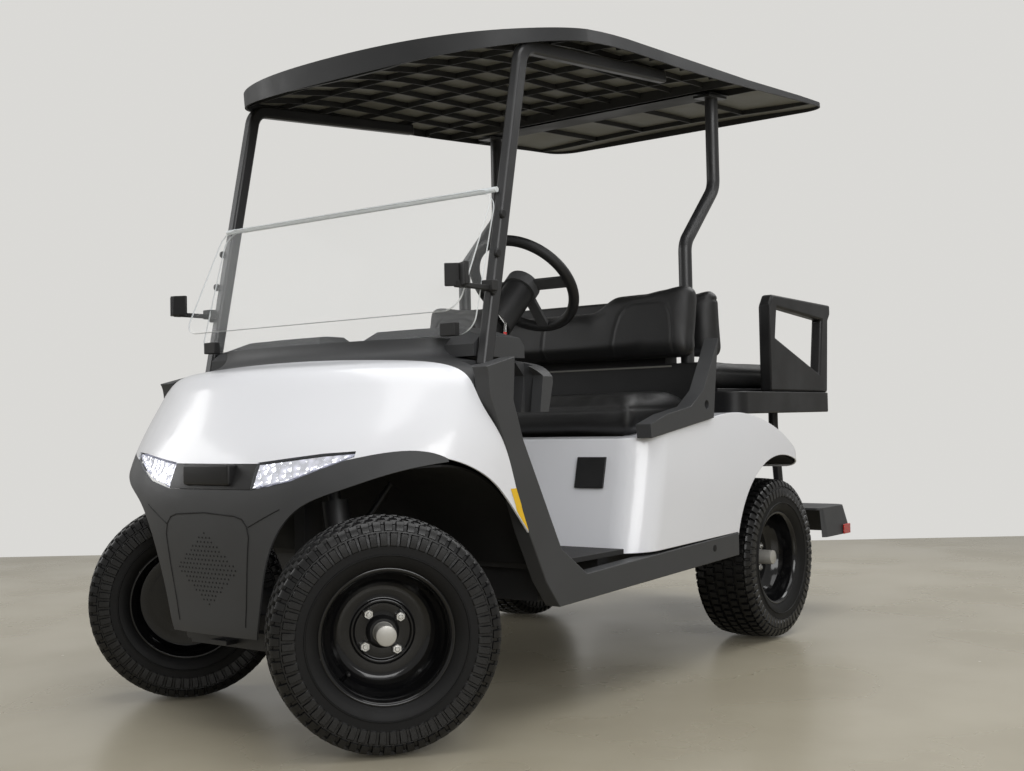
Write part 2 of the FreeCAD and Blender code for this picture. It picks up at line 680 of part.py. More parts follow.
BODY_SHARES = [(0.0, 0.0, 1.0, 1.0), (0.35, 0.35, 1.0, 1.0), (0.75, 0.75, 0.995, 0.997), (1.15, 1.0, 0.965, 0.975)]


def body_block(inset):
    rings = []
    rise = D.body_crest_z - D.body_low_z
    for up, lean, half, back in BODY_SHARES:
        level = D.body_low_z + rise * up - (D.overrun if up == 0 and number(inset) else 0)
        rings.append(rounded_ring(FRONT + D.bench_front_y + D.bench_lean * lean + inset,
                                  FRONT + D.body_back_y * back - inset, D.body_half * half - inset,
                                  D.body_corner_r - inset, D.tail_corner_r - inset, level))
    return Part.makeLoft(rings, True, False)


TOP_LINE_SHARES = [(-0.05, -0.15), (0.10, 0.16), (0.37, 0.70), (0.58, 1.0), (0.72, 0.75), (0.855, 0.14),
                   (0.96, -0.77), (1.03, -1.9)]


def body_top_line(drop):
    """The rear body's top line in side view, lowered by a wall."""
    run = D.body_back_y - D.bench_front_y
    rise = D.body_crest_z - D.bench_top_z
    front = FRONT + D.bench_front_y
    return [(front + run * along, D.bench_top_z + rise * up - drop) for along, up in TOP_LINE_SHARES]


def body_profile(drop):
    """Side view of the rear body, its top line lowered by a wall."""
    run = D.body_back_y - D.bench_front_y
    front = FRONT + D.bench_front_y
    curve = body_top_line(drop)
    low = D.body_low_z - D.overrun * 2
    wide = D.body_half + D.overrun
    return prism("X", curve, [(front + run * 1.03, low), (front - run * 0.05, low)], -wide, wide)


def rear_body():
    shell = body_block(ZERO).common(body_profile(ZERO))
    shell = shell.cut(body_block(D.panel).common(body_profile(D.panel)))
    arch = Part.makeCylinder(number(D.rear_arch_r), number(D.body_half - D.rear_arch_in) + number(D.overrun),
                             vec(D.rear_arch_in, REAR, D.tyre_r), FreeCAD.Vector(1, 0, 0))
    shell = shell.cut(both_sides(arch))
    hatch = solid_box((-D.hatch_half, D.hatch_half), (FRONT + D.hatch_front, FRONT + D.hatch_back),
                      (D.bench_top_z - D.overrun * 2, D.body_crest_z + D.overrun))
    wide = D.body_half + D.overrun
    low = D.body_low_z - D.overrun * 3
    below = prism("X", [], [(FRONT, D.rocker_high_z + D.panel_gap), (FRONT, low), (FRONT + D.rocker_back_y, low),
                            (FRONT + D.rocker_back_y, D.rocker_high_z + D.rocker_rise + D.panel_gap)],
                  -wide, wide)
    rails = solid_box((-D.rail_x - D.rail_w, D.rail_x + D.rail_w), (REAR, FRONT + D.rail_back_y),
                      (low, D.rail_z + D.rail_h + D.rail_kick + D.panel_gap))
    return shell.cut(hatch).cut(below).cut(rails)


node(feature("RearBody", rear_body()), "rear_body")


def rear_liner():
    """The wheel house inside one rear arch: a half ring with an inner wall."""
    outer = Part.makeCylinder(number(D.rear_arch_r + D.panel), number(D.body_half - D.rear_arch_in - D.panel * 4),
                              vec(D.rear_arch_in, REAR, D.tyre_r), FreeCAD.Vector(1, 0, 0))
    inner = Part.makeCylinder(number(D.rear_arch_r), number(D.body_half), vec(D.rear_arch_in, REAR, D.tyre_r),
                              FreeCAD.Vector(1, 0, 0))
    keep = solid_box((D.rear_arch_in, D.body_half), (FRONT, FRONT + D.body_back_y - D.panel * 3),
                     (D.rocker_high_z + D.rocker_rise + D.panel_gap, D.cowl_top_z))
    sheet_ring = outer.cut(inner).common(keep)
    return sheet_ring.common(body_block(D.panel + D.panel_gap)).common(body_profile(D.panel + D.panel_gap))


node(feature("RearLiners", both_sides(rear_liner())), "rear_wheel_liners")

# Charge port cover on the bench's front face

lean_rate = D.bench_lean / (D.body_crest_z - D.body_low_z)
port_face_y = FRONT + D.bench_front_y + lean_rate * (D.port_z - D.body_low_z)
port_run = lean_rate * D.port_h / 2
node(slab("PortCover", "X", [
    (port_face_y - port_run - D.port_t, D.port_z - D.port_h / 2),
    (port_face_y - port_run - D.seat_gap, D.port_z - D.port_h / 2),
    (port_face_y + port_run - D.seat_gap, D.port_z + D.port_h / 2),
    (port_face_y + port_run - D.port_t, D.port_z + D.port_h / 2)],
    D.port_x - D.port_w / 2, D.port_x + D.port_w / 2), "charge_port_cover")

# Front seat: cushion, back pad, arms and the carrier behind the back

node(slab("SeatCushion", "X", [
    (FRONT + D.seat_front_y, D.seat_low_z), (FRONT + D.seat_back_y, D.seat_low_z + (D.body_crest_z - D.bench_top_z) * 0.65),
    (FRONT + D.seat_back_y, D.seat_high_z + D.seat_fillet * 0.4), (FRONT + D.seat_front_y, D.seat_high_z)],
    -D.arm_in + D.overrun / 2, D.arm_in - D.overrun / 2, D.seat_fillet), "front_seat_cushion")

node(slab("SeatBack", "X", [
    (FRONT + D.back_y, D.back_low_z), (FRONT + D.back_y + D.back_t, D.back_low_z),
    (FRONT + D.back_y + D.back_lean + D.back_t, D.back_high_z),
    (FRONT + D.back_y + D.back_lean, D.back_high_z)],
    -D.back_half, D.back_half, D.back_fillet), "front_seat_back")


def seat_arm():
    """The moulded arm that sweeps from the seat's corner up to the back."""
    low_front = FRONT + D.seat_front_y
    low_back = FRONT + D.seat_back_y - D.overrun
    rise = D.back_low_z - D.seat_low_z
    run = D.seat_back_y - D.seat_front_y
    base = D.bench_top_z + D.arm_lift
    lift = D.body_crest_z - D.bench_top_z
    points = [(low_front, base), (low_back, base + lift * 0.68), (low_back + D.overrun, base + rise * 0.85),
              (low_back + D.overrun * 2, D.back_low_z + rise * 0.32), (low_back - D.overrun * 0.2, D.back_low_z),
              (low_back - run * 0.16, base + rise * 0.62), (low_back - run * 0.36, base + rise * 0.40),
              (low_back - run * 0.72, base + rise * 0.30), (low_front - D.overrun * 0.2, base + rise * 0.18)]
    arm = slab("SeatArm", "X", points, D.arm_in, D.arm_out)
    hole = rod("SeatArmHole", "X", (D.arm_in - D.overrun, low_back - run * 0.11, base + rise * 0.42),
               D.arm_hole_r, D.overrun * 4)
    return cut("SeatArmCut", arm, hole)


node(pair("SeatArms", seat_arm()), "seat_back_arms")



def body_top(y):
    """Where a flat piece comes to rest on the rear body's top line."""
    line = smooth_edge([vec(0, *spot) for spot in body_top_line(ZERO)])
    probe = Part.makeLine(vec(0, y, D.bench_top_z), vec(0, y, D.body_crest_z + D.overrun))
    return line.distToShape(probe)[1][0][0].z + number(D.seat_gap)


CARRIER_TOP_SHARE = 0.88
panel_front = FRONT + D.seat_back_y + D.overrun
panel_back = panel_front + D.floor_t
pad_back = FRONT + D.back_y + D.back_t
back_rise = D.back_high_z - D.back_low_z
carrier_back = pad_back + D.back_lean + D.carrier_t
carrier_high = D.back_low_z + back_rise * CARRIER_TOP_SHARE
carrier_half = D.rear_strut_x - D.rear_strut_r * 2
carrier_low = body_top(carrier_back)
meeting_z = D.back_low_z + back_rise * (panel_back - pad_back) / D.back_lean
node(fuse("Carriers", [
    slab("Carrier", "X", [
        (panel_back + D.seat_gap, carrier_low), (panel_back + D.seat_gap, meeting_z),
        (pad_back + D.back_lean * CARRIER_TOP_SHARE + D.seat_gap, carrier_high),
        (carrier_back, carrier_high), (carrier_back, carrier_low)], -carrier_half, carrier_half),
    box("CarrierBoss", (-carrier_half * 0.9, carrier_half * 0.9),
        (carrier_back - D.carrier_t, FRONT + D.rear_back_y - D.seat_gap),
        (D.rear_back_low + D.back_fillet, carrier_high))]), "seat_back_carrier")

node(box("UnderPanel", (-D.back_half, D.back_half), (panel_front, panel_back),
         (body_top(panel_back), D.back_low_z - D.panel_gap)), "under_back_panel")

# Rear seat: base pod, cushion on its deck, back pad and armrest loops

node(slab("RearBack", "X", [
    (FRONT + D.rear_back_y, D.rear_back_low), (FRONT + D.rear_back_y + D.rear_back_t, D.rear_back_low),
    (FRONT + D.rear_back_y + D.rear_back_t * 0.85, D.rear_back_high),
    (FRONT + D.rear_back_y, D.rear_back_high)],
    -D.rear_back_half, D.rear_back_half, D.back_fillet), "rear_seat_back")

deck_low = D.pod_high_z + D.seat_gap
node(box("Deck", (-D.rear_seat_half, D.rear_seat_half),
         (FRONT + D.rear_seat_y, FRONT + D.rear_seat_y + D.rear_seat_l),
         (deck_low, deck_low + D.deck_t)), "rear_seat_deck")
node(slab("RearCushion", "Z", [
    (-D.rear_seat_half, FRONT + D.rear_seat_y), (D.rear_seat_half, FRONT + D.rear_seat_y),
    (D.rear_seat_half, FRONT + D.rear_seat_y + D.rear_seat_l),
    (-D.rear_seat_half, FRONT + D.rear_seat_y + D.rear_seat_l)],
    deck_low + D.deck_t + D.seat_gap, D.rear_seat_high, D.seat_fillet), "rear_seat_cushion")


def pod():
    """The rear seat's moulded base, an upturned tray."""
    front = FRONT + D.pod_front_y
    back = FRONT + D.pod_back_y
    outer = Part.makeLoft([rounded_ring(front, back, D.pod_half, D.plate_corner_r, D.plate_corner_r, level)
                           for level in (D.pod_low_z, D.pod_high_z)], True, True)
    wall = D.pod_wall
    inner = Part.makeLoft([rounded_ring(front + wall, back - wall, D.pod_half - wall, D.plate_corner_r - wall,
                                        D.plate_corner_r - wall, level)
                           for level in (D.pod_low_z - D.overrun, D.pod_high_z - wall)], True, True)
    return outer.cut(inner)


node(feature("Pod", pod()), "rear_seat_base")


def armrest():
    """One armrest: a closed loop of moulded bar with a three-cornered panel inside."""
    front = FRONT + D.loop_front_y
    back = FRONT + D.loop_back_y
    low = D.pod_high_z + D.seat_gap
    high = D.loop_top_z
    bar = D.loop_bar
    points = [(front, low), (back - bar, low), (back - bar * 0.5, high - bar * 1.4), (back, high - bar * 0.8),
              (back, high), (front + bar * 0.6, high + bar * 0.2), (front, high - bar * 0.6)]
    frame = slab("Armrest", "X", points, D.loop_x - D.loop_w / 2, D.loop_x + D.loop_w / 2)
    window = [(front + bar, low + bar * 4.4), (back - bar * 2.6, low + bar * 1.6),
              (back - bar * 1.9, high - bar * 1.4), (front + bar * 1.4, high - bar * 0.8)]
    gap = slab("ArmrestGap", "X", window, D.loop_x - D.loop_w, D.loop_x + D.loop_w)
    return cut("ArmrestLoop", frame, gap)


node(pair("Armrests", armrest()), "rear_armrests")

# Rear seat frame: legs down to the foot plate and struts down to the chassis


def seat_frame():
    """Legs, cross stay and the beams that run back from the rails under the foot plate."""
    top = D.plate_z - D.plate_t - D.seat_gap
    low = top - D.frame_h
    leg_y = FRONT + D.leg_y
    head_y = leg_y - D.leg_r * 3
    leg = bent_rod([(D.leg_x, head_y, D.pod_high_z - D.pod_wall - D.seat_gap),
                    (D.leg_x, head_y, (D.pod_low_z + D.arch_top_z) / 2),
                    (D.leg_x, leg_y, low + D.leg_r)], D.leg_r, D.leg_r * 3)
    beam = solid_box((D.rail_x - D.rail_w / 2, D.rail_x + D.rail_w / 2),
                     (FRONT + D.rail_back_y + D.seat_gap, FRONT + D.plate_front_y + D.plate_skirt * 1.6),
                     (low, top))
    stay = solid_box((-D.leg_x - D.leg_r, D.leg_x + D.leg_r), (leg_y - D.leg_r, leg_y + D.leg_r), (low, top))
    side = leg.fuse(beam)
    return both_sides(side).fuse(stay)


node(feature("SeatFrame", seat_frame()), "rear_seat_frame")


def foot_plate():
    """The foot plate: a tray with a skirt that flares to the rear."""
    front = FRONT + D.plate_front_y
    back = REAR + D.rear_overhang
    drop = D.plate_skirt
    top = rounded_ring(front, back - drop * 0.3, D.plate_half - drop * 0.15, D.plate_corner_r * 0.4,
                       D.plate_corner_r, D.plate_z)
    low = rounded_ring(front, back, D.plate_half, D.plate_corner_r * 0.4, D.plate_corner_r, D.plate_z - drop)
    outer = Part.makeLoft([low, top], True, True)
    wall = D.plate_t
    top_in = rounded_ring(front - drop, back - drop * 0.3 - wall, D.plate_half - drop * 0.15 - wall,
                          D.plate_corner_r * 0.4, D.plate_corner_r - wall, D.plate_z - wall)
    low_in = rounded_ring(front - drop, back - wall - drop * 0.05, D.plate_half - wall - drop * 0.05,
                          D.plate_corner_r * 0.4, D.plate_corner_r - wall, D.plate_z - drop - D.overrun)
    return outer.cut(Part.makeLoft([low_in, top_in], True, True))


node(feature("FootPlate", foot_plate()), "foot_plate")

back_edge = REAR + D.rear_overhang
node(pair("Reflectors", box("Reflector", (D.plate_half + D.seat_gap, D.plate_half + D.reflector_t),
                            (back_edge - D.plate_corner_r - D.reflector_w, back_edge - D.plate_corner_r),
                            (D.plate_z - D.plate_skirt, D.plate_z - D.plate_skirt + D.reflector_h))),
     "foot_reflectors")

# Canopy: a crowned tray with a lattice of ribs under its skin

ROOF_TOP_SHARES = [0.61, 0.81, 0.99, 1.0, 0.87, 0.74, 0.62, 0.52, 0.45, 0.37, 0.26]
ROOF_LOW_SHARES = [0.0, 0.36, 0.56, 0.57, 0.44, 0.32, 0.25, 0.21, 0.18, 0.14, 0.08]
ROOF_RIB_SHARES = [0.105, 0.195, 0.285, 0.375, 0.464, 0.556, 0.925]
ROOF_BEAM_SHARES = [0.628, 0.710]
ROOF_COLUMN_SHARES = [0.0, 0.2, 0.4, 0.6, 0.8]
ROOF_BAY_SHARES = [0.18, 0.54]
ROOF_CURVE_POWER_SHARE = 0.87


def roof_slice(station, inset, floor):
    """One section of the canopy across its length: straight sides under a shallow arc."""
    count = len(ROOF_TOP_SHARES) - 1
    y = D.roof_length * station / count
    side = D.roof_half - inset
    edge = D.roof_rim * ROOF_TOP_SHARES[station] - inset
    low = floor if floor is not None else D.roof_rim * ROOF_LOW_SHARES[station]
    arc = Part.Arc(vec(side, y, edge), vec(0, y, edge + D.roof_crown), vec(-side, y, edge)).toShape()
    corners = [vec(-side, y, edge), vec(-side, y, low), vec(side, y, low), vec(side, y, edge)]
    return Part.Wire([arc] + [Part.LineSegment(a, b).toShape() for a, b in zip(corners, corners[1:])])


def roof_block(inset):
    """The canopy's outer form, or a smaller one that runs out below, in its own flat frame."""
    floor = -D.roof_rim if number(inset) else None
    stations = range(len(ROOF_TOP_SHARES))
    return Part.makeLoft([roof_slice(station, inset, floor) for station in stations], True, False)


def roof_plan(inset):
    """The canopy's plan: a bowed front that runs round into the sides, and rounded rear corners."""
    half = number(D.roof_half) - number(inset)
    front = number(inset)
    back = number(D.roof_length) - number(inset)
    reach = number(D.roof_bow)
    low = -number(D.roof_rim) * 2
    points = []
    for step in range(HULL_STEPS + 1):
        angle = math.pi * (1 - step / HULL_STEPS)
        across = math.copysign(abs(math.cos(angle)) ** ROOF_CURVE_POWER_SHARE, math.cos(angle))
        ahead = abs(math.sin(angle)) ** ROOF_CURVE_POWER_SHARE
        points.append(FreeCAD.Vector(half * across, front + reach * (1 - ahead), low))
    right = FreeCAD.Vector(half, back, low)
    left = FreeCAD.Vector(-half, back, low)
    wire = Part.Wire([smooth_edge(points), Part.LineSegment(points[-1], right).toShape(),
                      Part.LineSegment(right, left).toShape(), Part.LineSegment(left, points[0]).toShape()])
    block = Part.Face(wire).extrude(FreeCAD.Vector(0, 0, -low * 3))
    rear = [edge for edge in block.Edges
            if abs(edge.Vertexes[0].Z - edge.Vertexes[-1].Z) > -low and edge.Vertexes[0].Y > back - reach]
    return block.makeFillet(number(D.roof_corner_r - inset), rear)


def roof_sheet(x_middle, along_low, along_high):
    """One rib that runs along the canopy."""
    half_rib = D.rib_t / 2
    return solid_box((x_middle - half_rib, x_middle + half_rib), (along_low, along_high),
                     (-D.roof_rim, D.roof_rim + D.roof_crown))


def flat_roof():
    """The canopy in its own flat frame: a skin with a rim, a lattice, a cross beam and a front arch."""
    outer = roof_block(ZERO).common(roof_plan(ZERO))
    inner = roof_block(D.roof_skin).common(roof_plan(D.roof_skin))
    shell = outer.cut(inner)
    half_rib = D.rib_t / 2
    length = D.roof_length
    tall = (-D.roof_rim, D.roof_rim + D.roof_crown)
    wide = (-D.roof_half, D.roof_half)
    ribs = [solid_box(wide, (length * share - half_rib, length * share + half_rib), tall)
            for share in ROOF_RIB_SHARES]
    front_end = length * ROOF_RIB_SHARES[0]
    beam_front = length * ROOF_BEAM_SHARES[0]
    beam_back = length * ROOF_BEAM_SHARES[1]
    for share in ROOF_COLUMN_SHARES:
        for side in ((1,) if share == 0 else (1, -1)):
            ribs.append(roof_sheet(D.roof_half * share * side, front_end, beam_front))
    for share in ROOF_BAY_SHARES:
        for side in (1, -1):
            ribs.append(roof_sheet(D.roof_half * share * side, beam_back, length * ROOF_RIB_SHARES[-1]))
    lattice = ribs[0].fuse(ribs[1:]).common(outer).cut(roof_block(D.roof_skin + D.rib_depth))
    walls = [solid_box(wide, (length * share - half_rib, length * share + half_rib),
                       (D.beam_low, D.roof_rim + D.roof_crown)) for share in ROOF_BEAM_SHARES]
    plate = solid_box((-D.rear_strut_x - D.strut_pad_half, D.rear_strut_x + D.strut_pad_half),
                      (beam_front, beam_back), (D.beam_low, D.beam_low + D.rib_t))
    beam = walls[0].fuse([walls[1], plate]).common(outer)
    return shell.fuse([lattice, beam, grip_arch(inner)]).removeSplitter()


def grip_arch(inner):
    """The arched channel moulded behind the canopy's front edge."""
    rings = []
    for shrink in (ZERO, D.rib_t * 3):
        ellipse = Part.Ellipse(FreeCAD.Vector(0, number(D.roof_skin), -number(D.roof_rim)),
                               number(D.grip_arch_half - shrink), number(D.grip_arch_reach - shrink))
        rings.append(Part.Face(Part.Wire([ellipse.toShape()])).extrude(vec(0, 0, D.roof_rim * 3)))
    return rings[0].cut(rings[1]).common(inner).cut(roof_block(D.roof_skin + D.rib_depth * 2))


FLAT_ROOF = flat_roof()


def in_place(shape):
    """Turns a piece from the canopy's flat frame to its place on the cart."""
    shape.rotate(FreeCAD.Vector(0, 0, 0), FreeCAD.Vector(1, 0, 0), number(D.roof_slope))
    shape.translate(vec(0, FRONT + D.roof_front_y, D.roof_low_z))
    return shape


node(feature("Roof", in_place(FLAT_ROOF.copy())), "roof")


def roof_spot(along, rise):
    """A place in the canopy's flat frame, as Y and Z on the cart."""
    spot = FreeCAD.Rotation(FreeCAD.Vector(1, 0, 0), number(D.roof_slope)).multVec(vec(0, along, rise))
    return number(FRONT + D.roof_front_y) + spot.y, number(D.roof_low_z) + spot.z


def under_roof(x, along):
    """The canopy's lowest height at a place, in its flat frame."""
    probe = Part.makeLine(vec(x, along, -D.roof_rim), vec(x, along, D.roof_rim * 2))
    return probe.common(FLAT_ROOF).BoundBox.ZMin - number(D.seat_gap)


def strut_rail():
    """Where the front strut's rail starts and ends, held by two ribs of the canopy."""
    outer_edge = D.strut_x + D.strut_width / 2
    first = D.roof_length * ROOF_RIB_SHARES[0]
    last = D.roof_length * ROOF_RIB_SHARES[4]
    first_rise = under_roof(outer_edge, first)
    last_rise = under_roof(outer_edge, last)
    climb = number(last_rise - first_rise) / number(last - first)
    start = D.strut_head_y - D.roof_front_y
    finish = start + D.rail_length
    half = D.strut_depth / 2
    return (roof_spot(start, first_rise - half - (first - start) * climb),
            roof_spot(finish, last_rise - half + (finish - last) * climb))


RAIL_START, RAIL_END = strut_rail()


def front_strut():
    """A strut with an oblong section, bent back into a rail under the canopy."""
    half_depth = number(D.strut_depth) / 2
    rail = D.strut_width / 2
    foot = (FRONT + D.strut_foot_y, D.strut_foot_z)
    path = path_wire([(D.strut_x, *foot), (D.strut_x, *RAIL_START), (D.strut_x, *RAIL_END)], D.strut_bend)
    start = vec(D.strut_x, *foot)
    way = (vec(D.strut_x, *RAIL_START) - start).normalize()
    side = FreeCAD.Vector(1, 0, 0)
    normal = way.cross(side).normalize()
    corners = [start + side * number(rail) * a + normal * half_depth * b
               for a, b in ((1, 1), (-1, 1), (-1, -1), (1, -1))]
    edges = [Part.LineSegment(a, b).toShape() for a, b in zip(corners, corners[1:] + corners[:1])]
    return swept(Part.Wire(edges), path)


node(feature("FrontStruts", both_sides(front_strut())), "front_struts")


def rear_strut():
    """A round strut with an S-bend behind the seat back and a pad under the canopy's cross beam."""
    x = D.rear_strut_x
    low_y = FRONT + D.rear_strut_low_y
    high_y = FRONT + D.rear_strut_y
    along = D.rear_strut_y - D.roof_front_y
    high = D.beam_low - D.seat_gap
    pad = in_place(solid_box((x - D.strut_pad_half, x + D.strut_pad_half),
                             (along - D.strut_pad_l / 2, along + D.strut_pad_l / 2), (high - D.strut_pad_t, high)))
    tube = bent_rod([(x, low_y, D.body_crest_z + D.panel_gap), (x, low_y, D.strut_turn_low_z),
                     (x, high_y, D.strut_turn_high_z), (x, high_y, roof_spot(along, high - D.strut_pad_t / 2)[1])],
                    D.rear_strut_r, D.rear_strut_bend)
    return tube.fuse(pad).removeSplitter()


node(feature("RearStruts", both_sides(rear_strut())), "rear_struts")

# Windscreen: a lower pane, an upper pane folded down in front, hinge bar and clips


def strut_front(level):
    """Where the front struts' front face stands in Y at a height."""
    lean = number(RAIL_START[0] - FRONT - D.strut_foot_y) / number(RAIL_START[1] - D.strut_foot_z)
    centre = number(FRONT + D.strut_foot_y) + (number(level) - number(D.strut_foot_z)) * lean
    return centre - number(D.strut_depth) / 2 * math.hypot(1, lean)


PANE_TOP_SHARE = 1.09
bar_z = D.hinge_z
bar_y = strut_front(bar_z - D.hinge_bar_r) - number(D.hinge_bar_r + D.seat_gap)


def pane(low, high, half):
    """A flat pane from its lower to its upper line, in side view (y, z)."""
    start = vec(0, *low)
    end = vec(0, *high)
    up = (end - start).normalize()
    out = FreeCAD.Vector(1, 0, 0).cross(up).normalize() * number(D.screen_t)
    corners = [start, end, end + out, start + out]
    edges = [Part.LineSegment(a, b).toShape() for a, b in zip(corners, corners[1:] + corners[:1])]
    face = Part.Face(Part.Wire(edges))
    face.translate(vec(-half, 0, 0))
    shape = face.extrude(vec(half * 2, 0, 0))
    rim = [edge for edge in shape.Edges
           if abs(edge.Length - number(D.screen_t)) < number(D.seat_gap)]
    return shape.makeFillet(number(D.clip_w), rim)


node(feature("LowerPane", pane((FRONT + D.screen_low_y, D.screen_low_z),
                               (bar_y, bar_z - D.hinge_bar_r * PANE_TOP_SHARE), D.screen_half)),
     "windscreen_lower")
node(feature("UpperPane", pane((FRONT + D.fold_low_y, D.fold_low_z),
                               (bar_y - number(D.hinge_bar_r + D.seat_gap), bar_z), D.screen_half)),
     "windscreen_upper")
node(rod("HingeBar", "X", (-D.screen_half, bar_y, bar_z), D.hinge_bar_r, D.screen_half * 2),
     "windscreen_hinge")


def clips():
    low = box("LowClip", (D.strut_x - D.clip_w * 1.9, D.strut_x - D.clip_w * 0.9),
              (FRONT + D.screen_low_y - D.clip_d * 0.75, FRONT + D.screen_low_y - D.screen_t * 1.06),
              (D.cowl_top_z + D.seat_gap, D.screen_low_z + D.clip_h))
    mid_y = FRONT + D.fold_low_y
    mid_z = D.fold_low_z + D.clip_h * 2
    clip_back = strut_front(mid_z) - number(D.seat_gap)
    mid = slab("MidClip", "Z", [
        (D.screen_half + D.panel_gap, mid_y - D.clip_d), (D.screen_half + D.clip_w * 0.7, mid_y - D.clip_d * 0.4),
        (D.screen_half + D.clip_w * 0.7, clip_back), (D.screen_half + D.panel_gap, clip_back)],
        mid_z, mid_z + D.clip_h)
    return fuse("ClipSet", [low, mid])


node(pair("Clips", clips()), "windscreen_clips")

# Chassis: ladder rails, a narrow nose frame, shock towers, cross members and tow points


def chassis():
    low = D.rail_z
    high = D.rail_z + D.rail_h
    inner = D.rail_x - D.rail_w / 2
    outer = D.rail_x + D.rail_w / 2
    kick = FRONT + D.rail_kick_y
    nose_low = D.nose_rail_z
    nose_high = D.nose_rail_z + D.cross_h
    nose_in = D.nose_rail_x - D.nose_rail_w / 2
    nose_out = D.nose_rail_x + D.nose_rail_w / 2
    dash_line = FRONT + D.rail_front_y
    shock_y = REAR - D.axle_r - D.shock_r * 4
    side = fuse("ChassisSide", [
        box("Rail", (inner, outer), (dash_line, kick), (low, high)),
        box("RailKick", (inner, outer), (kick - D.rail_w, kick), (low, high + D.rail_kick)),
        box("RailBack", (inner, outer), (kick, FRONT + D.rail_back_y),
            (low + D.rail_kick, high + D.rail_kick)),
        box("ShockPost", (inner, outer), (shock_y - D.shock_r, shock_y + D.shock_r),
            (high + D.rail_kick, D.beam_z)),
        box("NoseRail", (nose_in, nose_out), (FRONT - D.nose_rail_y, dash_line + D.cross_w),
            (nose_low, nose_high)),
        box("NoseRiser", (nose_in, nose_out), (dash_line, dash_line + D.cross_w), (nose_low, high)),
        box("Tower", (nose_in, nose_out), (FRONT - D.tower_w / 2, FRONT + D.tower_w / 2),
            (nose_low, D.tower_z)),
        box("TowerPlate", (ZERO, D.tower_out), (FRONT - D.tower_w / 2, FRONT + D.tower_w / 2),
            (D.tower_z, D.tower_z + D.tower_plate))])
    whole = [side, mirror("ChassisSide_twin", side)]
    under_floor = D.floor_z - D.floor_t - D.seat_gap
    crossings = [(dash_line + D.cross_w, D.floor_half - D.overrun, high - D.cross_h, under_floor),
                 (FRONT + D.bench_front_y - D.cross_w * 2, D.floor_half - D.overrun, high - D.cross_h, under_floor),
                 (FRONT + D.battery_front + D.battery_l + D.seat_gap, outer, high - D.cross_h, high),
                 (FRONT + D.rail_back_y - D.cross_w, outer, high + D.rail_kick - D.cross_h, high + D.rail_kick)]
    for index, (start_y, half, cross_low, top) in enumerate(crossings):
        whole.append(box(f"Cross{index}", (-half, half), (start_y, start_y + D.cross_w), (cross_low, top)))
    whole.append(box("ShockBeam", (-D.shock_x - D.shock_r, D.shock_x + D.shock_r),
                     (shock_y - D.shock_r, shock_y + D.shock_r), (D.beam_z, D.beam_z + D.shock_r)))
    whole.append(box("NoseCross", (-nose_in, nose_in),
                     (FRONT - D.nose_rail_y, FRONT - D.nose_rail_y + D.nose_rail_w), (nose_low, nose_high)))
    whole.append(box("TowTab", (-D.tab_w / 2, D.tab_w / 2),
                     (FRONT - D.nose_rail_y - D.tab_l, FRONT - D.nose_rail_y),
                     (nose_low + D.tab_t, nose_low + D.tab_t * 2)))
    hitch_low = high + D.rail_kick - D.cross_h
    whole.append(box("Hitch", (-D.hitch_w / 2, D.hitch_w / 2),
                     (FRONT + D.rail_back_y, FRONT + D.rail_back_y + D.hitch_l),
                     (hitch_low, hitch_low + D.hitch_t)))
    frame = fuse("ChassisWhole", whole)
    holes = fuse("ChassisHoles", [
        rod("TabHole", "Z", (ZERO, FRONT - D.nose_rail_y - D.tab_l * 0.55, nose_low), D.tab_r, D.rail_h),
        rod("HitchHole", "Z", (ZERO, FRONT + D.rail_back_y + D.hitch_l * 0.6, low), D.hitch_r, D.rail_h * 4)])
    return cut("Chassis", frame, holes)


node(chassis(), "chassis_frame")

# Steering rack housing on the nose frame, with the rack's own bore


def rack_housing():
    tube = rod("RackTube", "X", (-D.rack_tube_half, FRONT + D.rack_y, D.rack_z), D.rack_tube_r,
               D.rack_tube_half * 2)
    foot = box("RackFoot", (-D.nose_rail_x - D.nose_rail_w / 2, D.nose_rail_x + D.nose_rail_w / 2),
               (FRONT + D.rack_y - D.rack_tube_r, FRONT + D.rack_y + D.rack_tube_r),
               (D.nose_rail_z + D.cross_h + D.seat_gap, D.rack_z))
    bore = rod("RackBore", "X", (-D.rack_tube_half * 2, FRONT + D.rack_y, D.rack_z), D.rack_r + D.running_gap,
               D.rack_tube_half * 4)
    return cut("RackHousing", fuse("RackBody", [tube, foot]), bore)


node(rack_housing(), "steering_rack_housing")

# Front suspension: lower arms, coil-over dampers


COILOVER_X = D.front_kingpin - D.spring_r * 2.4
COILOVER_LEAN_SHARE = 0.17


def suspension_arm():
    """One lower arm: two bars from the nose frame to the ball joint and a damper seat between them."""
    ball = (D.front_kingpin, FRONT, D.arm_z)
    inner = D.nose_rail_x + D.nose_rail_w / 2 + D.arm_r + D.seat_gap
    level = D.nose_rail_z + D.cross_h / 2
    bars = [link((inner, FRONT + side * D.arm_spread, level), ball, D.arm_r) for side in (-1, 1)]
    cup = Part.makeCylinder(number(D.ball_r), number(D.arm_r * 2 + D.stud_gap),
                            vec(D.front_kingpin, FRONT, D.arm_z - D.arm_r))
    pins = [Part.makeCylinder(number(D.arm_r), number(D.cross_w),
                              vec(inner, FRONT + side * D.arm_spread - D.cross_w / 2, level),
                              FreeCAD.Vector(0, 1, 0)) for side in (-1, 1)]
    half_seat = D.arm_spread * (D.front_kingpin - COILOVER_X) / (D.front_kingpin - inner)
    damper_seat = solid_box((COILOVER_X - D.damper_r, COILOVER_X + D.damper_r),
                            (FRONT - half_seat, FRONT + half_seat), (D.arm_z, D.arm_z + D.arm_r))
    return bars[0].fuse([bars[1], cup, damper_seat] + pins)


node(feature("SuspensionArms", both_sides(suspension_arm())), "front_suspension_arms")


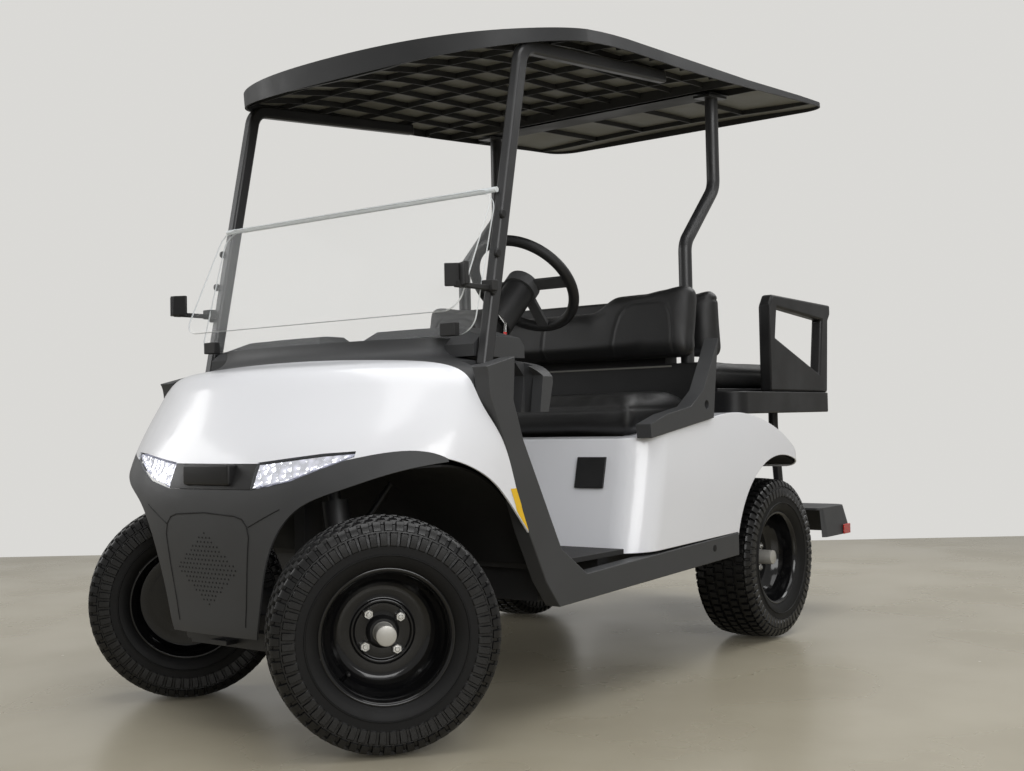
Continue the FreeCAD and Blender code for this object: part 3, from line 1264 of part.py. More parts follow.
def coilover():
    """A damper inside its coil spring's envelope, from the arm to the tower."""
    rise = D.seat_gap + D.damper_r * COILOVER_LEAN_SHARE
    foot = vec(COILOVER_X, FRONT, D.arm_z + D.arm_r + rise)
    head = vec(D.tower_out - D.spring_r, FRONT, D.tower_z - rise)
    way = (head - foot).normalize()
    length = (head - foot).Length
    rod_part = Part.makeCylinder(number(D.damper_r), length, foot, way)
    spring = Part.makeCylinder(number(D.spring_r), length * 0.55, foot + way * (length * 0.33), way)
    return rod_part.fuse(spring)


node(feature("Coilovers", both_sides(coilover())), "front_coilovers")

# Knuckles: kingpin, spindle and steering arm, stored at the steered rest angle


def knuckle(side):
    """One knuckle drawn straight ahead, then turned to the rest angle."""
    low = number(D.arm_z + D.arm_r + D.stud_gap + D.running_gap)
    x = number(D.front_kingpin) * side
    post = Part.makeCylinder(number(D.knuckle_r), number(D.knuckle_h), FreeCAD.Vector(x, 0, low))
    spindle = Part.makeCylinder(number(D.spindle_r), number(D.front_scrub + D.disc_depth), vec(x, 0, D.tyre_r),
                                FreeCAD.Vector(side, 0, 0))
    pin_x = x - side * number(D.steer_in)
    arm_z = number(D.rack_z - D.eye_h / 2 - D.stud_gap - D.eye_h)
    first = FreeCAD.Vector(x, 0, 0)
    pin = FreeCAD.Vector(pin_x, number(D.steer_arm), 0)
    way = (pin - first).normalize()
    across = FreeCAD.Vector(-way.y, way.x, 0) * number(D.arm_r)
    corners = [first - across, pin - across, pin + across, first + across]
    for corner in corners:
        corner.z = arm_z
    edges = [Part.LineSegment(a, b).toShape() for a, b in zip(corners, corners[1:] + corners[:1])]
    arm = Part.Face(Part.Wire(edges)).extrude(vec(0, 0, D.eye_h * 0.6))
    tip = Part.makeCylinder(number(D.arm_r), number(D.eye_h), FreeCAD.Vector(pin_x, number(D.steer_arm), arm_z))
    whole = post.fuse([spindle, arm, tip])
    whole.rotate(FreeCAD.Vector(x, 0, 0), FreeCAD.Vector(0, 0, 1), -number(D.steer_rest))
    whole.translate(vec(0, FRONT, 0))
    return whole


node(feature("KnuckleLeft", knuckle(1)), "knuckle_left")
node(feature("KnuckleRight", knuckle(-1)), "knuckle_right")


def pin_x(side):
    """Where a steering arm's pin stands in X at the rest angle."""
    return (side * D.front_kingpin - side * D.steer_in * cosine(D.steer_rest)
            + D.steer_arm * sine(D.steer_rest))


rack_eyes = [rod(f"TieEye{index}", "Z", (pin_x(side), FRONT + D.rack_y, D.rack_z - D.eye_h / 2), D.eye_r, D.eye_h)
             for index, side in enumerate((-1, 1))]
rack_bar = rod("RackBar", "X", (pin_x(-1), FRONT + D.rack_y, D.rack_z), D.rack_r, pin_x(1) - pin_x(-1))
node(fuse("TieRods", [rack_bar] + rack_eyes), "tie_rods")

# Wheels and tyres: profiles about the spin axis, outboard face towards +Z of the profile

half_w = D.tyre_w / 2
half_bead = D.bead_w / 2


def tyre_profile():
    """A tyre's section: flat tread, round shoulders, bulged walls and beads at the rim."""
    shoulder = number(D.shoulder_r)
    outer = number(D.tyre_r)
    half = number(half_w)
    bead = number(D.rim_r + D.seat_gap)
    half_in = number(half_bead)
    wall = number(D.tyre_r - D.shoulder_r) - (number(D.tyre_r - D.shoulder_r) - bead) * 0.45
    cos45 = math.sqrt(0.5)
    edges = []

    def point(radius, height):
        return FreeCAD.Vector(radius, 0, height)
    edges.append(Part.LineSegment(point(outer, -half + shoulder), point(outer, half - shoulder)).toShape())
    for sign in (1, -1):
        centre_h = sign * (half - shoulder)
        centre_r = outer - shoulder
        edges.append(Part.Arc(point(outer, centre_h), point(centre_r + shoulder * cos45, centre_h + sign * shoulder * cos45),
                              point(centre_r, sign * half)).toShape())
        edges.append(Part.LineSegment(point(centre_r, sign * half), point(wall, sign * half)).toShape())
        edges.append(Part.Arc(point(wall, sign * half),
                              point((wall + bead) / 2 - shoulder * 0.02, sign * (half - (half - half_in) * 0.32)),
                              point(bead, sign * half_in)).toShape())
    edges.append(Part.LineSegment(point(bead, -half_in), point(bead, half_in)).toShape())
    return Part.Face(Part.Wire(Part.__sortEdges__(edges)))


def spun(face):
    return face.revolve(FreeCAD.Vector(0, 0, 0), FreeCAD.Vector(0, 0, 1), 360)


def wheel_profile():
    """A deep-dish wheel's section with its hub barrel."""
    lip = D.rim_r
    wall = D.rim_wall
    hb = half_bead
    face = half_bead - D.disc_depth * 2
    bore = D.spindle_r + D.running_gap
    return [(lip, hb), (lip, hb - D.rim_lip), (lip - wall * 2, hb - D.rim_lip * 2), (lip - wall * 2, D.disc_depth * 0.4),
            (D.well_r, D.disc_depth * 0.1), (D.well_r, -D.disc_depth * 0.3), (lip - wall * 2, -D.disc_depth * 0.6),
            (lip - wall * 2, -hb + D.rim_lip * 2), (lip, -hb + D.rim_lip), (lip, -hb),
            (lip - wall, -hb), (lip - wall * 3, -hb + D.rim_lip * 2), (lip - wall * 3, -D.disc_depth * 0.6),
            (D.well_r - wall, -D.disc_depth * 0.3 + wall), (D.disc_r, -D.disc_depth * 0.25),
            (D.hub_r, -D.disc_depth * 0.25), (D.hub_r * 0.9, -D.disc_depth * 0.55), (bore, -D.disc_depth * 0.55),
            (bore, D.hub_nose * 0.2), (D.hub_nose_r, D.hub_nose * 0.45), (D.hub_r, -D.disc_depth * 0.05),
            (D.hub_r, -D.disc_depth * 0.25 + D.disc_wall), (D.disc_r, -D.disc_depth * 0.25 + D.disc_wall),
            (D.well_r - wall, D.disc_depth * 0.1), (lip - wall * 3, D.disc_depth * 0.4 + wall),
            (lip - wall * 3, hb - D.rim_lip * 2), (lip - wall, hb)]


def hub_front(side):
    """Centre and outward axis of a steered front wheel at rest."""
    shift = vec(D.front_scrub * cosine(D.steer_rest), -D.front_scrub * sine(D.steer_rest), 0) * side
    centre = vec(side * D.front_kingpin, FRONT, D.tyre_r) + shift
    return centre, vec(cosine(D.steer_rest), -sine(D.steer_rest), 0) * side


def hub_rear(side):
    return vec(side * D.rear_half_track, REAR, D.tyre_r), FreeCAD.Vector(side, 0, 0)


HUBS = {"front_left": hub_front(1), "front_right": hub_front(-1),
        "rear_left": hub_rear(1), "rear_right": hub_rear(-1)}
tyre_shape = spun(tyre_profile())
for corner, (centre, outward) in HUBS.items():
    turn = FreeCAD.Placement(centre, FreeCAD.Rotation(FreeCAD.Vector(0, 0, 1), outward))
    tyre = node(feature("Tyre_" + corner, tyre_shape.copy()), "tyre_" + corner)
    tyre.Placement = turn
    wheel = node(turned("Wheel_" + corner, wheel_profile()), "wheel_" + corner)
    wheel.Placement = turn

# Steering column and wheel


def column():
    top = vec(*COLUMN_TOP)
    start = top - COLUMN_WAY * number(D.boss_t + D.panel_gap)
    tube_part = Part.makeCylinder(number(D.column_r), number(D.column_l), start, COLUMN_WAY * -1)
    shroud = Part.makeCylinder(number(D.shroud_r), number(D.shroud_l), start, COLUMN_WAY * -1)
    return tube_part.fuse([shroud, steering_shaft(D.column_r * 0.4)])


node(feature("Column", column()), "steering_column")


def steering_wheel():
    """A three-spoke wheel drawn flat about Z, then set on the column."""
    grip = Part.makeTorus(number(D.grip_r), number(D.grip_tube_r))
    boss = Part.makeCylinder(number(D.boss_r), number(D.boss_t), vec(0, 0, -D.boss_t))
    spokes = []
    for angle in (0, 90, 180):
        spoke = Part.makeBox(number(D.grip_r), number(D.spoke_w), number(D.spoke_t),
                             vec(0, -D.spoke_w / 2, -D.spoke_t * 1.2))
        spoke.rotate(FreeCAD.Vector(0, 0, 0), FreeCAD.Vector(0, 0, 1), angle)
        spokes.append(spoke)
    whole = grip.fuse([boss] + spokes)
    whole.Placement = FreeCAD.Placement(vec(*COLUMN_TOP), FreeCAD.Rotation(
        FreeCAD.Vector(1, 0, 0), COLUMN_WAY.cross(FreeCAD.Vector(1, 0, 0)) * -1, COLUMN_WAY, "ZXY"))
    return whole


node(feature("SteeringWheel", steering_wheel()), "steering_wheel")

# Pedals on the toe board


def pedals():
    pieces = []
    rise = D.toe_top_z - D.floor_z
    for index, shift in enumerate((-1, 1)):
        x = D.wheel_x - D.overrun * 2 + shift * (D.pedal_w + D.pedal_gap) / 2
        y = FRONT + D.toe_y - toe_run * 0.35 + D.pedal_gap * 0.5
        z = D.floor_z + rise * 0.35
        plate = slab(f"Pedal{index}", "X", [
            (y, z - D.pedal_h * 0.4), (y + D.pedal_t, z - D.pedal_h * 0.4),
            (y + D.pedal_t - toe_run * 0.4, z + D.pedal_h * 0.6), (y - toe_run * 0.4, z + D.pedal_h * 0.6)],
            x - D.pedal_w / 2, x + D.pedal_w / 2)
        arm = rod(f"PedalArm{index}", "Y", (x, FRONT + D.toe_y - toe_run * 0.30, z - D.pedal_h * 0.05),
                  D.pedal_arm_r, D.pedal_gap * 0.5)
        pieces.append(fuse(f"PedalSet{index}", [plate, arm]))
    return fuse("Pedals", pieces)


node(pedals(), "pedals")

# Battery pack, rear axle with its motor, leaf springs and dampers

battery_low = D.rail_z + D.rail_h * 0.2
node(box("Battery", (-D.battery_half, D.battery_half),
         (FRONT + D.battery_front, FRONT + D.battery_front + D.battery_l),
         (battery_low, battery_low + D.battery_h)), "battery_pack")


def rear_axle():
    """Live axle: tubes, gearbox, motor and wheel flanges."""
    reach = D.rear_half_track - D.disc_depth * 0.6 - D.panel_gap
    across = FreeCAD.Vector(1, 0, 0)
    tube_part = Part.makeCylinder(number(D.axle_r), number(reach * 2), vec(-reach, REAR, D.tyre_r), across)
    gear = Part.makeCylinder(number(D.gearbox_r), number(D.gearbox_w),
                             vec(-D.gearbox_w / 2, REAR, D.tyre_r), across)
    motor = Part.makeCylinder(number(D.motor_r), number(D.motor_l),
                              vec(D.gearbox_w * 0.1, REAR + D.gearbox_r, D.tyre_r + D.gearbox_r * 0.3), across * -1)
    stubs = [Part.makeCylinder(number(D.spindle_r), number(D.disc_depth), vec(side * reach, REAR, D.tyre_r),
                               across * side) for side in (-1, 1)]
    return tube_part.fuse([gear, motor] + stubs)


node(feature("RearAxle", rear_axle()), "rear_axle")


def leaf_spring():
    """A leaf spring that hangs from the rails and passes under the axle."""
    low = D.tyre_r - D.axle_r - D.leaf_t - D.seat_gap
    half = D.leaf_l / 2
    path_points = [(REAR - half, low + D.leaf_sag), (REAR, low), (REAR + half, low + D.leaf_sag)]
    top = [(y, level + D.leaf_t) for y, level in path_points]
    x = D.leaf_x - D.leaf_w / 2
    curve_low = Part.Arc(*[vec(x, *spot) for spot in path_points]).toShape()
    curve_top = Part.Arc(*[vec(x, *spot) for spot in top]).toShape()
    ends = [Part.LineSegment(vec(x, *path_points[0]), vec(x, *top[0])).toShape(),
            Part.LineSegment(vec(x, *path_points[2]), vec(x, *top[2])).toShape()]
    face = Part.Face(Part.Wire(Part.__sortEdges__([curve_low, curve_top] + ends)))
    leaf = face.extrude(vec(D.leaf_w, 0, 0))
    hanger_low = low + D.leaf_sag + D.leaf_t / 2
    hangers = [solid_box((D.rail_x + D.rail_w / 2 + D.seat_gap, D.leaf_x + D.leaf_w / 2),
                         (REAR + side * (half - D.leaf_t) - D.leaf_t, REAR + side * (half - D.leaf_t) + D.leaf_t),
                         (hanger_low, D.rail_z + D.rail_h + D.rail_kick)) for side in (-1, 1)]
    return leaf.fuse(hangers)


node(feature("Leaves", both_sides(leaf_spring())), "leaf_springs")


def rear_shock():
    foot = (D.shock_x, REAR - D.axle_r - D.shock_r * 1.2, D.tyre_r)
    head = (D.shock_x, REAR - D.axle_r - D.shock_r * 4, D.beam_z - D.shock_r * 0.25)
    return link(foot, head, D.shock_r)


node(feature("RearShocks", both_sides(rear_shock())), "rear_shocks")

node(pair("TailLamps", box("TailLamp", (D.body_half - D.tail_corner_r * 4.3, D.body_half - D.tail_corner_r * 4.3 + D.tail_lamp_w),
                           (FRONT + D.body_back_y + D.seat_gap, FRONT + D.body_back_y + D.tail_lamp_t),
                           (D.arch_low_z, D.arch_low_z + D.tail_lamp_h))), "tail_lamps")

# Checks on the finished document, then one file for each piece

doc.recompute()
faults = [item.Name for item in doc.Objects if "Invalid" in item.State or "Error" in item.State]
if faults:
    raise RuntimeError("objects that failed: " + ", ".join(faults))
for thing in NODES:
    if thing.Shape.isNull() or not thing.Shape.isValid() or not thing.Shape.Solids:
        raise RuntimeError("no sound solid in " + thing.Label)
for thing in NODES:
    thing.Shape.exportStep(f"parts/{thing.Label}.step")
print(len(NODES), "pieces,", "front axle at", round(number(FRONT), 3), "rear axle at", round(number(REAR), 3))
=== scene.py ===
# %% [markdown]
# # A golf cart, dressed piece by piece
#
# The cart's solids come from the CAD model, already in place and in metres. Here they get their looks:
# smooth panels, tyre treads, stitched cushions, lamps and paint. Nothing is moved, because every piece
# already knows its place. We start by loading the solids and noting how large the whole cart is.

# %% Load the solids
import bmesh
import bpy
import json
import math
import numpy as np
from mathutils import Matrix, Vector
from mathutils.bvhtree import BVHTree


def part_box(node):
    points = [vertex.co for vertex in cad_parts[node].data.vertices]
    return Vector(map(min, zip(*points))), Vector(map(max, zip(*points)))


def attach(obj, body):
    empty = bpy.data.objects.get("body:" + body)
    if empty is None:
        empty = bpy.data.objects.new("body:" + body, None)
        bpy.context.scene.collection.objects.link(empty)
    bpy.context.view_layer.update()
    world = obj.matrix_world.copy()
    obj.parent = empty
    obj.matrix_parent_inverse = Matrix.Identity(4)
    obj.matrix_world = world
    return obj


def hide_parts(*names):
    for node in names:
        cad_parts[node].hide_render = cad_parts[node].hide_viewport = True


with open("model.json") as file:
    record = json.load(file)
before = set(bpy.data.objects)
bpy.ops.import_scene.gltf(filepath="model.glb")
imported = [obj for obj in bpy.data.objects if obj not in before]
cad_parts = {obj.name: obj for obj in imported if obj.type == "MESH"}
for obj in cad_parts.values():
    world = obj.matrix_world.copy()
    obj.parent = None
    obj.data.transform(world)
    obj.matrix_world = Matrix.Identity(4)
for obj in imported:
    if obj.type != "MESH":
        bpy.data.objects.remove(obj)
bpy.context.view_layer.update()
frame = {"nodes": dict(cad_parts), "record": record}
NODES = frame["nodes"]
scene = bpy.context.scene

# %% [markdown]
# ## The camera
#
# The photographer stood at the cart's front left corner with the camera at chest height, tilted up a
# little. A camera is a place and three directions: to the right, up and forwards. Writing them out as
# the columns of one matrix keeps the tilt and the slight roll in plain sight.

# %% Place the camera
CAMERA_PLACE = Vector((2.351, -3.194, 0.721))
CAMERA_TURN = math.radians(36.98)
CAMERA_PITCH = math.radians(1.68)
CAMERA_ROLL = math.radians(-1.19)
PHOTO_WIDTH = 1024
FOCAL_PIXELS = 1249.2
SENSOR = 36.0


def camera_directions():
    """Forward from turn and pitch; right lies level, up is square to both; then roll turns the last two."""
    forward = Vector((-math.sin(CAMERA_TURN) * math.cos(CAMERA_PITCH),
                      math.cos(CAMERA_TURN) * math.cos(CAMERA_PITCH), math.sin(CAMERA_PITCH)))
    level = Vector((math.cos(CAMERA_TURN), math.sin(CAMERA_TURN), 0.0))
    upward = level.cross(forward)
    right = math.cos(CAMERA_ROLL) * level + math.sin(CAMERA_ROLL) * upward
    above = -math.sin(CAMERA_ROLL) * level + math.cos(CAMERA_ROLL) * upward
    return right, above, forward


camera = bpy.data.objects.new("Camera", bpy.data.cameras.new("Camera"))
scene.collection.objects.link(camera)
right, above, forward = camera_directions()
camera_axes = Matrix((right, above, -forward)).transposed().to_4x4()
camera.matrix_world = Matrix.Translation(CAMERA_PLACE) @ camera_axes
camera.data.sensor_width = SENSOR
camera.data.lens = SENSOR * FOCAL_PIXELS / PHOTO_WIDTH
scene.camera = camera
print("lens", round(camera.data.lens, 2))

# %% [markdown]
# ## The lamps
#
# A showroom has wide soft ceiling lights. Large area lamps far from the cart give the long soft
# reflections that make gloss panels readable. They are hidden from the camera, so a view from another
# side shows the cart and not the lamps.

# %% Lamps
LAMPS = [
    # name, place, target, width, height, watts
    ("Ceiling", (0.4, -0.4, 4.6), (0.0, 0.0, 0.6), 4.6, 5.2, 165.0),
    ("FrontSide", (4.7, -3.4, 2.6), (0.0, -0.1, 0.7), 3.2, 2.4, 125.0),
    ("FarSide", (-4.6, -2.6, 2.6), (0.0, 0.0, 0.8), 3.0, 2.4, 60.0),
    ("Behind", (1.0, 2.6, 3.4), (0.0, 0.4, 0.9), 2.4, 1.4, 45.0),
]


def lamp(name, place, target, width, height, watts):
    data = bpy.data.lights.new(name, "AREA")
    data.shape = "RECTANGLE"
    data.size = width
    data.size_y = height
    data.energy = watts
    thing = bpy.data.objects.new(name, data)
    scene.collection.objects.link(thing)
    look = (Vector(target) - Vector(place)).to_track_quat("-Z", "Y")
    thing.matrix_world = Matrix.Translation(Vector(place)) @ look.to_matrix().to_4x4()
    thing.visible_camera = False


for row in LAMPS:
    lamp(*row)
scene.view_settings.view_transform = "Standard"
print("lamps", len(LAMPS))

# %% [markdown]
# ## Writing materials as arithmetic
#
# A material is a small program. `Value` wraps one socket of that program, and adding or multiplying
# two of them adds the Math node that does it. `Finish` holds one material: `add` makes any other
# node, with its settings first and then what goes into its sockets.


# %% Shader arithmetic
class Value:
    """A number that varies over a surface."""

    def __init__(self, finish, socket):
        self.finish = finish
        self.socket = socket

    def calculate(self, operation, first, second):
        return self.finish.add("ShaderNodeMath", {"operation": operation}, {0: first, 1: second})

    def __add__(self, other):
        return self.calculate("ADD", self, other)

    def __radd__(self, other):
        return self.calculate("ADD", other, self)

    def __sub__(self, other):
        return self.calculate("SUBTRACT", self, other)

    def __rsub__(self, other):
        return self.calculate("SUBTRACT", other, self)

    def __mul__(self, other):
        return self.calculate("MULTIPLY", self, other)

    def __rmul__(self, other):
        return self.calculate("MULTIPLY", other, self)


class Finish:
    """One material, with its shader and its object coordinates."""

    def __init__(self, name, colour, roughness, **plain):
        self.material = bpy.data.materials.new(name)
        self.material.use_nodes = True
        self.tree = self.material.node_tree
        self.shader = self.tree.nodes["Principled BSDF"]
        self.shader.inputs["Base Color"].default_value = (*colour, 1.0)
        self.shader.inputs["Roughness"].default_value = roughness
        for socket, amount in plain.items():
            self.shader.inputs[socket.replace("_", " ")].default_value = amount
        self.place = self.add("ShaderNodeTexCoord", {}, {}, "Object")

    def add(self, kind, settings, sockets, output=0):
        """Any node: its settings are set first, then its sockets get values or links."""
        made = self.tree.nodes.new(kind)
        for name, setting in settings.items():
            setattr(made, name, setting)
        for key, thing in sockets.items():
            self.join(made.inputs[key], thing)
        return Value(self, made.outputs[output])

    def join(self, socket, thing):
        if isinstance(thing, Value):
            self.tree.links.new(thing.socket, socket)
        else:
            socket.default_value = thing

    def feed(self, name, thing):
        self.join(self.shader.inputs[name], thing)

    def noise(self, scale, detail=2.0):
        return self.add("ShaderNodeTexNoise", {}, {"Vector": self.place, "Scale": scale, "Detail": detail},
                        "Fac")

    def cells(self, scale, feature="F1"):
        return self.add("ShaderNodeTexVoronoi", {"feature": feature}, {"Vector": self.place, "Scale": scale},
                        "Distance")

    def smooth_step(self, value, low, high):
        return self.add("ShaderNodeMapRange", {"interpolation_type": "SMOOTHSTEP"},
                        {"Value": value, "From Min": low, "From Max": high}, "Result")

    def patches(self, scale, detail, low, high):
        """Soft-edged patches: noise below low becomes 0, noise above high becomes 1."""
        return self.smooth_step(self.noise(scale, detail), low, high)

    def colours(self, share, first, second, socket="Base Color"):
        """Share 0 gives the first colour and share 1 the second."""
        mixed = self.add("ShaderNodeMix", {"data_type": "RGBA"},
                         {0: share, 6: (*first, 1.0), 7: (*second, 1.0)}, 2)
        self.feed(socket, mixed)

    def bump(self, height, depth):
        """Height is 0 to 1 and depth is how deep it is, in metres."""
        sockets = {"Height": height, "Distance": depth, "Strength": 1.0}
        self.feed("Normal", self.add("ShaderNodeBump", {}, sockets, "Normal"))


print("shader arithmetic is ready")

# %% [markdown]
# ## The plastics
#
# Most of the cart is moulded plastic. The body panels are painted a cool gloss white: a coat over a
# nearly smooth base, with the faint waviness that injection-moulded panels have. The trims are bare
# charcoal plastic with a fine pebble grain, which spreads highlights into a soft sheen. Handling
# polishes the grain a little, so roughness drifts over tens of centimetres.

# %% Panel white and charcoal grain


def panel_white():
    clean, dusty = (0.825, 0.835, 0.875), (0.785, 0.80, 0.84)
    finish = Finish("panel_white", clean, 0.32, Coat_Weight=0.75, Coat_Roughness=0.13)
    dust = finish.patches(3.2, 4.0, 0.35, 0.75)
    finish.colours(dust * 0.35, clean, dusty)
    finish.feed("Roughness", 0.28 + dust * 0.10)
    finish.bump(finish.noise(9.0, 1.0), 0.0006)
    return finish.material


def grained(name, colour, roughness, grain_size=0.0011, depth=0.00012):
    """Pebble grain: rounded cells about a millimetre wide under a slow drift of polish."""
    finish = Finish(name, colour, roughness, Specular_IOR_Level=0.35)
    drift = finish.patches(6.0, 3.0, 0.3, 0.7)
    rubbed = tuple(part * 1.22 + 0.004 for part in colour)
    finish.colours(drift * 0.6, colour, rubbed)
    finish.feed("Roughness", roughness - 0.10 + drift * 0.16)
    finish.bump(finish.cells(1.0 / grain_size, "SMOOTH_F1"), depth)
    return finish.material


WHITE = panel_white()
CHARCOAL = grained("charcoal_grain", (0.046, 0.047, 0.049), 0.56)
ROOF_CHARCOAL = grained("roof_grain", (0.026, 0.027, 0.029), 0.58, 0.0016)
BLACK_PLASTIC = grained("black_plastic", (0.009, 0.009, 0.0095), 0.46)
LINER_BLACK = grained("liner_black", (0.005, 0.005, 0.0053), 0.72)
print("plastics ready")

# %% [markdown]
# ## Paint and metal
#
# Struts and chassis are powder coated: the powder melts into a skin with a very fine orange peel.
# The wheels are sprayed gloss black. Fasteners and hub caps are bright zinc with tiny scratches,
# and the cast parts below stay rough and dull.

# %% Powder coat, wheel paint, zinc and castings


def powder_coat(name, colour, roughness):
    finish = Finish(name, colour, roughness)
    worn = finish.patches(11.0, 3.0, 0.45, 0.8)
    finish.feed("Roughness", roughness + worn * 0.12)
    finish.colours(worn * 0.5, colour, tuple(part * 1.5 for part in colour))
    finish.bump(finish.noise(420.0), 0.00015)
    return finish.material


def wheel_paint():
    finish = Finish("wheel_paint", (0.0045, 0.0045, 0.005), 0.16, Specular_IOR_Level=0.32, Coat_Weight=0.25,
                    Coat_Roughness=0.05)
    finish.feed("Roughness", 0.14 + finish.patches(30.0, 4.0, 0.55, 0.9) * 0.25)
    finish.bump(finish.noise(55.0, 1.0), 0.00012)
    return finish.material


def bright_metal(name, colour, roughness, metallic=1.0):
    """Fine scratches under stains that dull the shine."""
    finish = Finish(name, colour, roughness, Metallic=metallic)
    finish.feed("Roughness", roughness + finish.patches(60.0, 4.0, 0.4, 0.8) * 0.18)
    finish.bump(finish.noise(900.0, 3.0), 0.00004)
    return finish.material


STRUT_PAINT = powder_coat("strut_paint", (0.022, 0.0225, 0.024), 0.36)
FRAME_PAINT = powder_coat("frame_paint", (0.012, 0.012, 0.013), 0.45)
WHEEL_PAINT = wheel_paint()
ZINC = bright_metal("zinc", (0.66, 0.66, 0.65), 0.26)
BRUSHED_CAP = bright_metal("brushed_cap", (0.46, 0.45, 0.42), 0.42, 0.45)
CASTING = powder_coat("casting", (0.030, 0.030, 0.032), 0.62)
print("metals ready")

# %% [markdown]
# ## Rubber, vinyl and clear parts
#
# Tyre rubber is matt and slightly dusty in patches. Seat vinyl carries an embossed leather grain:
# small rounded cells with creases between them. The windscreen is clear acrylic, so most light goes
# straight through and only grazing views turn it pale; its sawn edges glow because light collects there.

# %% Rubber, vinyl, acrylic and lenses


def rubber(name, colour, roughness, gloss):
    finish = Finish(name, colour, roughness, Specular_IOR_Level=gloss)
    dust = finish.patches(14.0, 4.0, 0.45, 0.85)
    finish.colours(dust * 0.5, colour, (0.013, 0.0128, 0.012))
    finish.feed("Roughness", roughness + dust * 0.2)
    finish.bump(finish.noise(260.0, 3.0), 0.0002)
    return finish.material


def seat_vinyl():
    finish = Finish("seat_vinyl", (0.0085, 0.0085, 0.009), 0.42, Specular_IOR_Level=0.45)
    grain = finish.smooth_step(finish.cells(420.0, "DISTANCE_TO_EDGE"), 0.0, 0.16)
    finish.feed("Roughness", 0.36 + finish.patches(5.0, 3.0, 0.35, 0.7) * 0.12 + (1 - grain) * 0.12)
    finish.bump(grain * 0.75 + finish.noise(70.0) * 0.25, 0.00016)
    return finish.material


def acrylic():
    finish = Finish("acrylic", (0.93, 0.96, 0.97), 0.03, IOR=1.45)
    edge_on = finish.add("ShaderNodeLayerWeight", {}, {"Blend": 0.22}, "Facing")
    finish.feed("Alpha", 0.035 + edge_on * edge_on * 0.22)
    return finish.material


# Painted light: a pale, nearly opaque colour stands in for the light the sheet carries to its sawn edges.
def acrylic_edge_painted_light():
    finish = Finish("acrylic_edge_painted_light", (0.86, 0.90, 0.92), 0.22)
    finish.feed("Alpha", 0.72 + finish.noise(90.0) * 0.2)
    return finish.material


def red_lens():
    finish = Finish("red_lens", (0.55, 0.012, 0.010), 0.12, Coat_Weight=0.6)
    ribs = finish.add("ShaderNodeTexWave", {"bands_direction": "Z"}, {"Vector": finish.place, "Scale": 60.0},
                      "Fac")
    finish.colours(ribs, (0.62, 0.016, 0.012), (0.38, 0.008, 0.007))
    finish.bump(ribs, 0.0008)
    return finish.material


def mat_rubber():
    clean, dusty = (0.014, 0.014, 0.0145), (0.035, 0.034, 0.032)
    finish = Finish("mat_rubber", clean, 0.66)
    finish.colours(finish.patches(18.0, 4.0, 0.45, 0.9) * 0.4, clean, dusty)
    finish.bump(finish.cells(500.0, "SMOOTH_F1"), 0.0002)
    return finish.material


TYRE_RUBBER = rubber("tyre_rubber", (0.0042, 0.0042, 0.0045), 0.56, 0.24)
TREAD_RUBBER = rubber("tread_rubber", (0.0052, 0.0052, 0.0056), 0.33, 0.42)
VINYL = seat_vinyl()
ACRYLIC = acrylic()
ACRYLIC_EDGE_PAINTED_LIGHT = acrylic_edge_painted_light()
RED_LENS = red_lens()
MAT_RUBBER = mat_rubber()
print("rubber, vinyl and clear parts ready")

# %% [markdown]
# ## A soft edge for hard parts
#
# No moulded or welded part has a razor edge. For each rigid solid we copy its triangles, join them
# into whole faces, and round the edges by a millimetre or two. The copy then stands for the solid,
# so the mechanics keep the exact one.

# %% Soft-edged copies
BODIES = frame["record"]["behaviour"]["bodies"]
BODY_OF = {node: body for body, members in BODIES.items() for node in members}
SHARP_ANGLE = math.radians(32)
SAME_PLACE = 1e-5


def give(piece, body, *solids):
    """A finished piece rides on its body and stands for its solids."""
    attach(piece, body)
    if solids:
        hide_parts(*solids)
    return piece


def add_piece(name, mesh, *materials):
    thing = bpy.data.objects.new(name, mesh)
    scene.collection.objects.link(thing)
    for material in materials:
        mesh.materials.append(material)
    return thing


def smooth(mesh, sharp=None):
    """Faces shade as one curved surface, apart from edges that turn by more than the sharp angle."""
    mesh.polygons.foreach_set("use_smooth", np.ones(len(mesh.polygons), bool))
    if sharp is not None:
        mesh.set_sharp_from_angle(angle=sharp)


def soft_edged(solid, material, radius, name=None):
    """A copy of the solid: triangles joined into whole faces, then edges rounded by the radius."""
    mesh = NODES[solid].data.copy()
    mesh.materials.clear()
    work = bmesh.new()
    work.from_mesh(mesh)
    bmesh.ops.remove_doubles(work, verts=work.verts, dist=SAME_PLACE)
    bmesh.ops.dissolve_limit(work, angle_limit=math.radians(0.7), verts=work.verts, edges=work.edges)
    work.to_mesh(mesh)
    work.free()
    for attribute in ("custom_normal", "UVMap"):
        if attribute in mesh.attributes:
            mesh.attributes.remove(mesh.attributes[attribute])
    smooth(mesh, SHARP_ANGLE)
    piece = add_piece(name or solid + "_skin", mesh, material)
    rounding = piece.modifiers.new("Soft edges", "BEVEL")
    rounding.width = radius
    rounding.segments = 2
    rounding.limit_method = "ANGLE"
    rounding.angle_limit = SHARP_ANGLE
    evening = piece.modifiers.new("Even shading", "WEIGHTED_NORMAL")
    evening.keep_sharp = True
    return give(piece, BODY_OF[solid], solid)


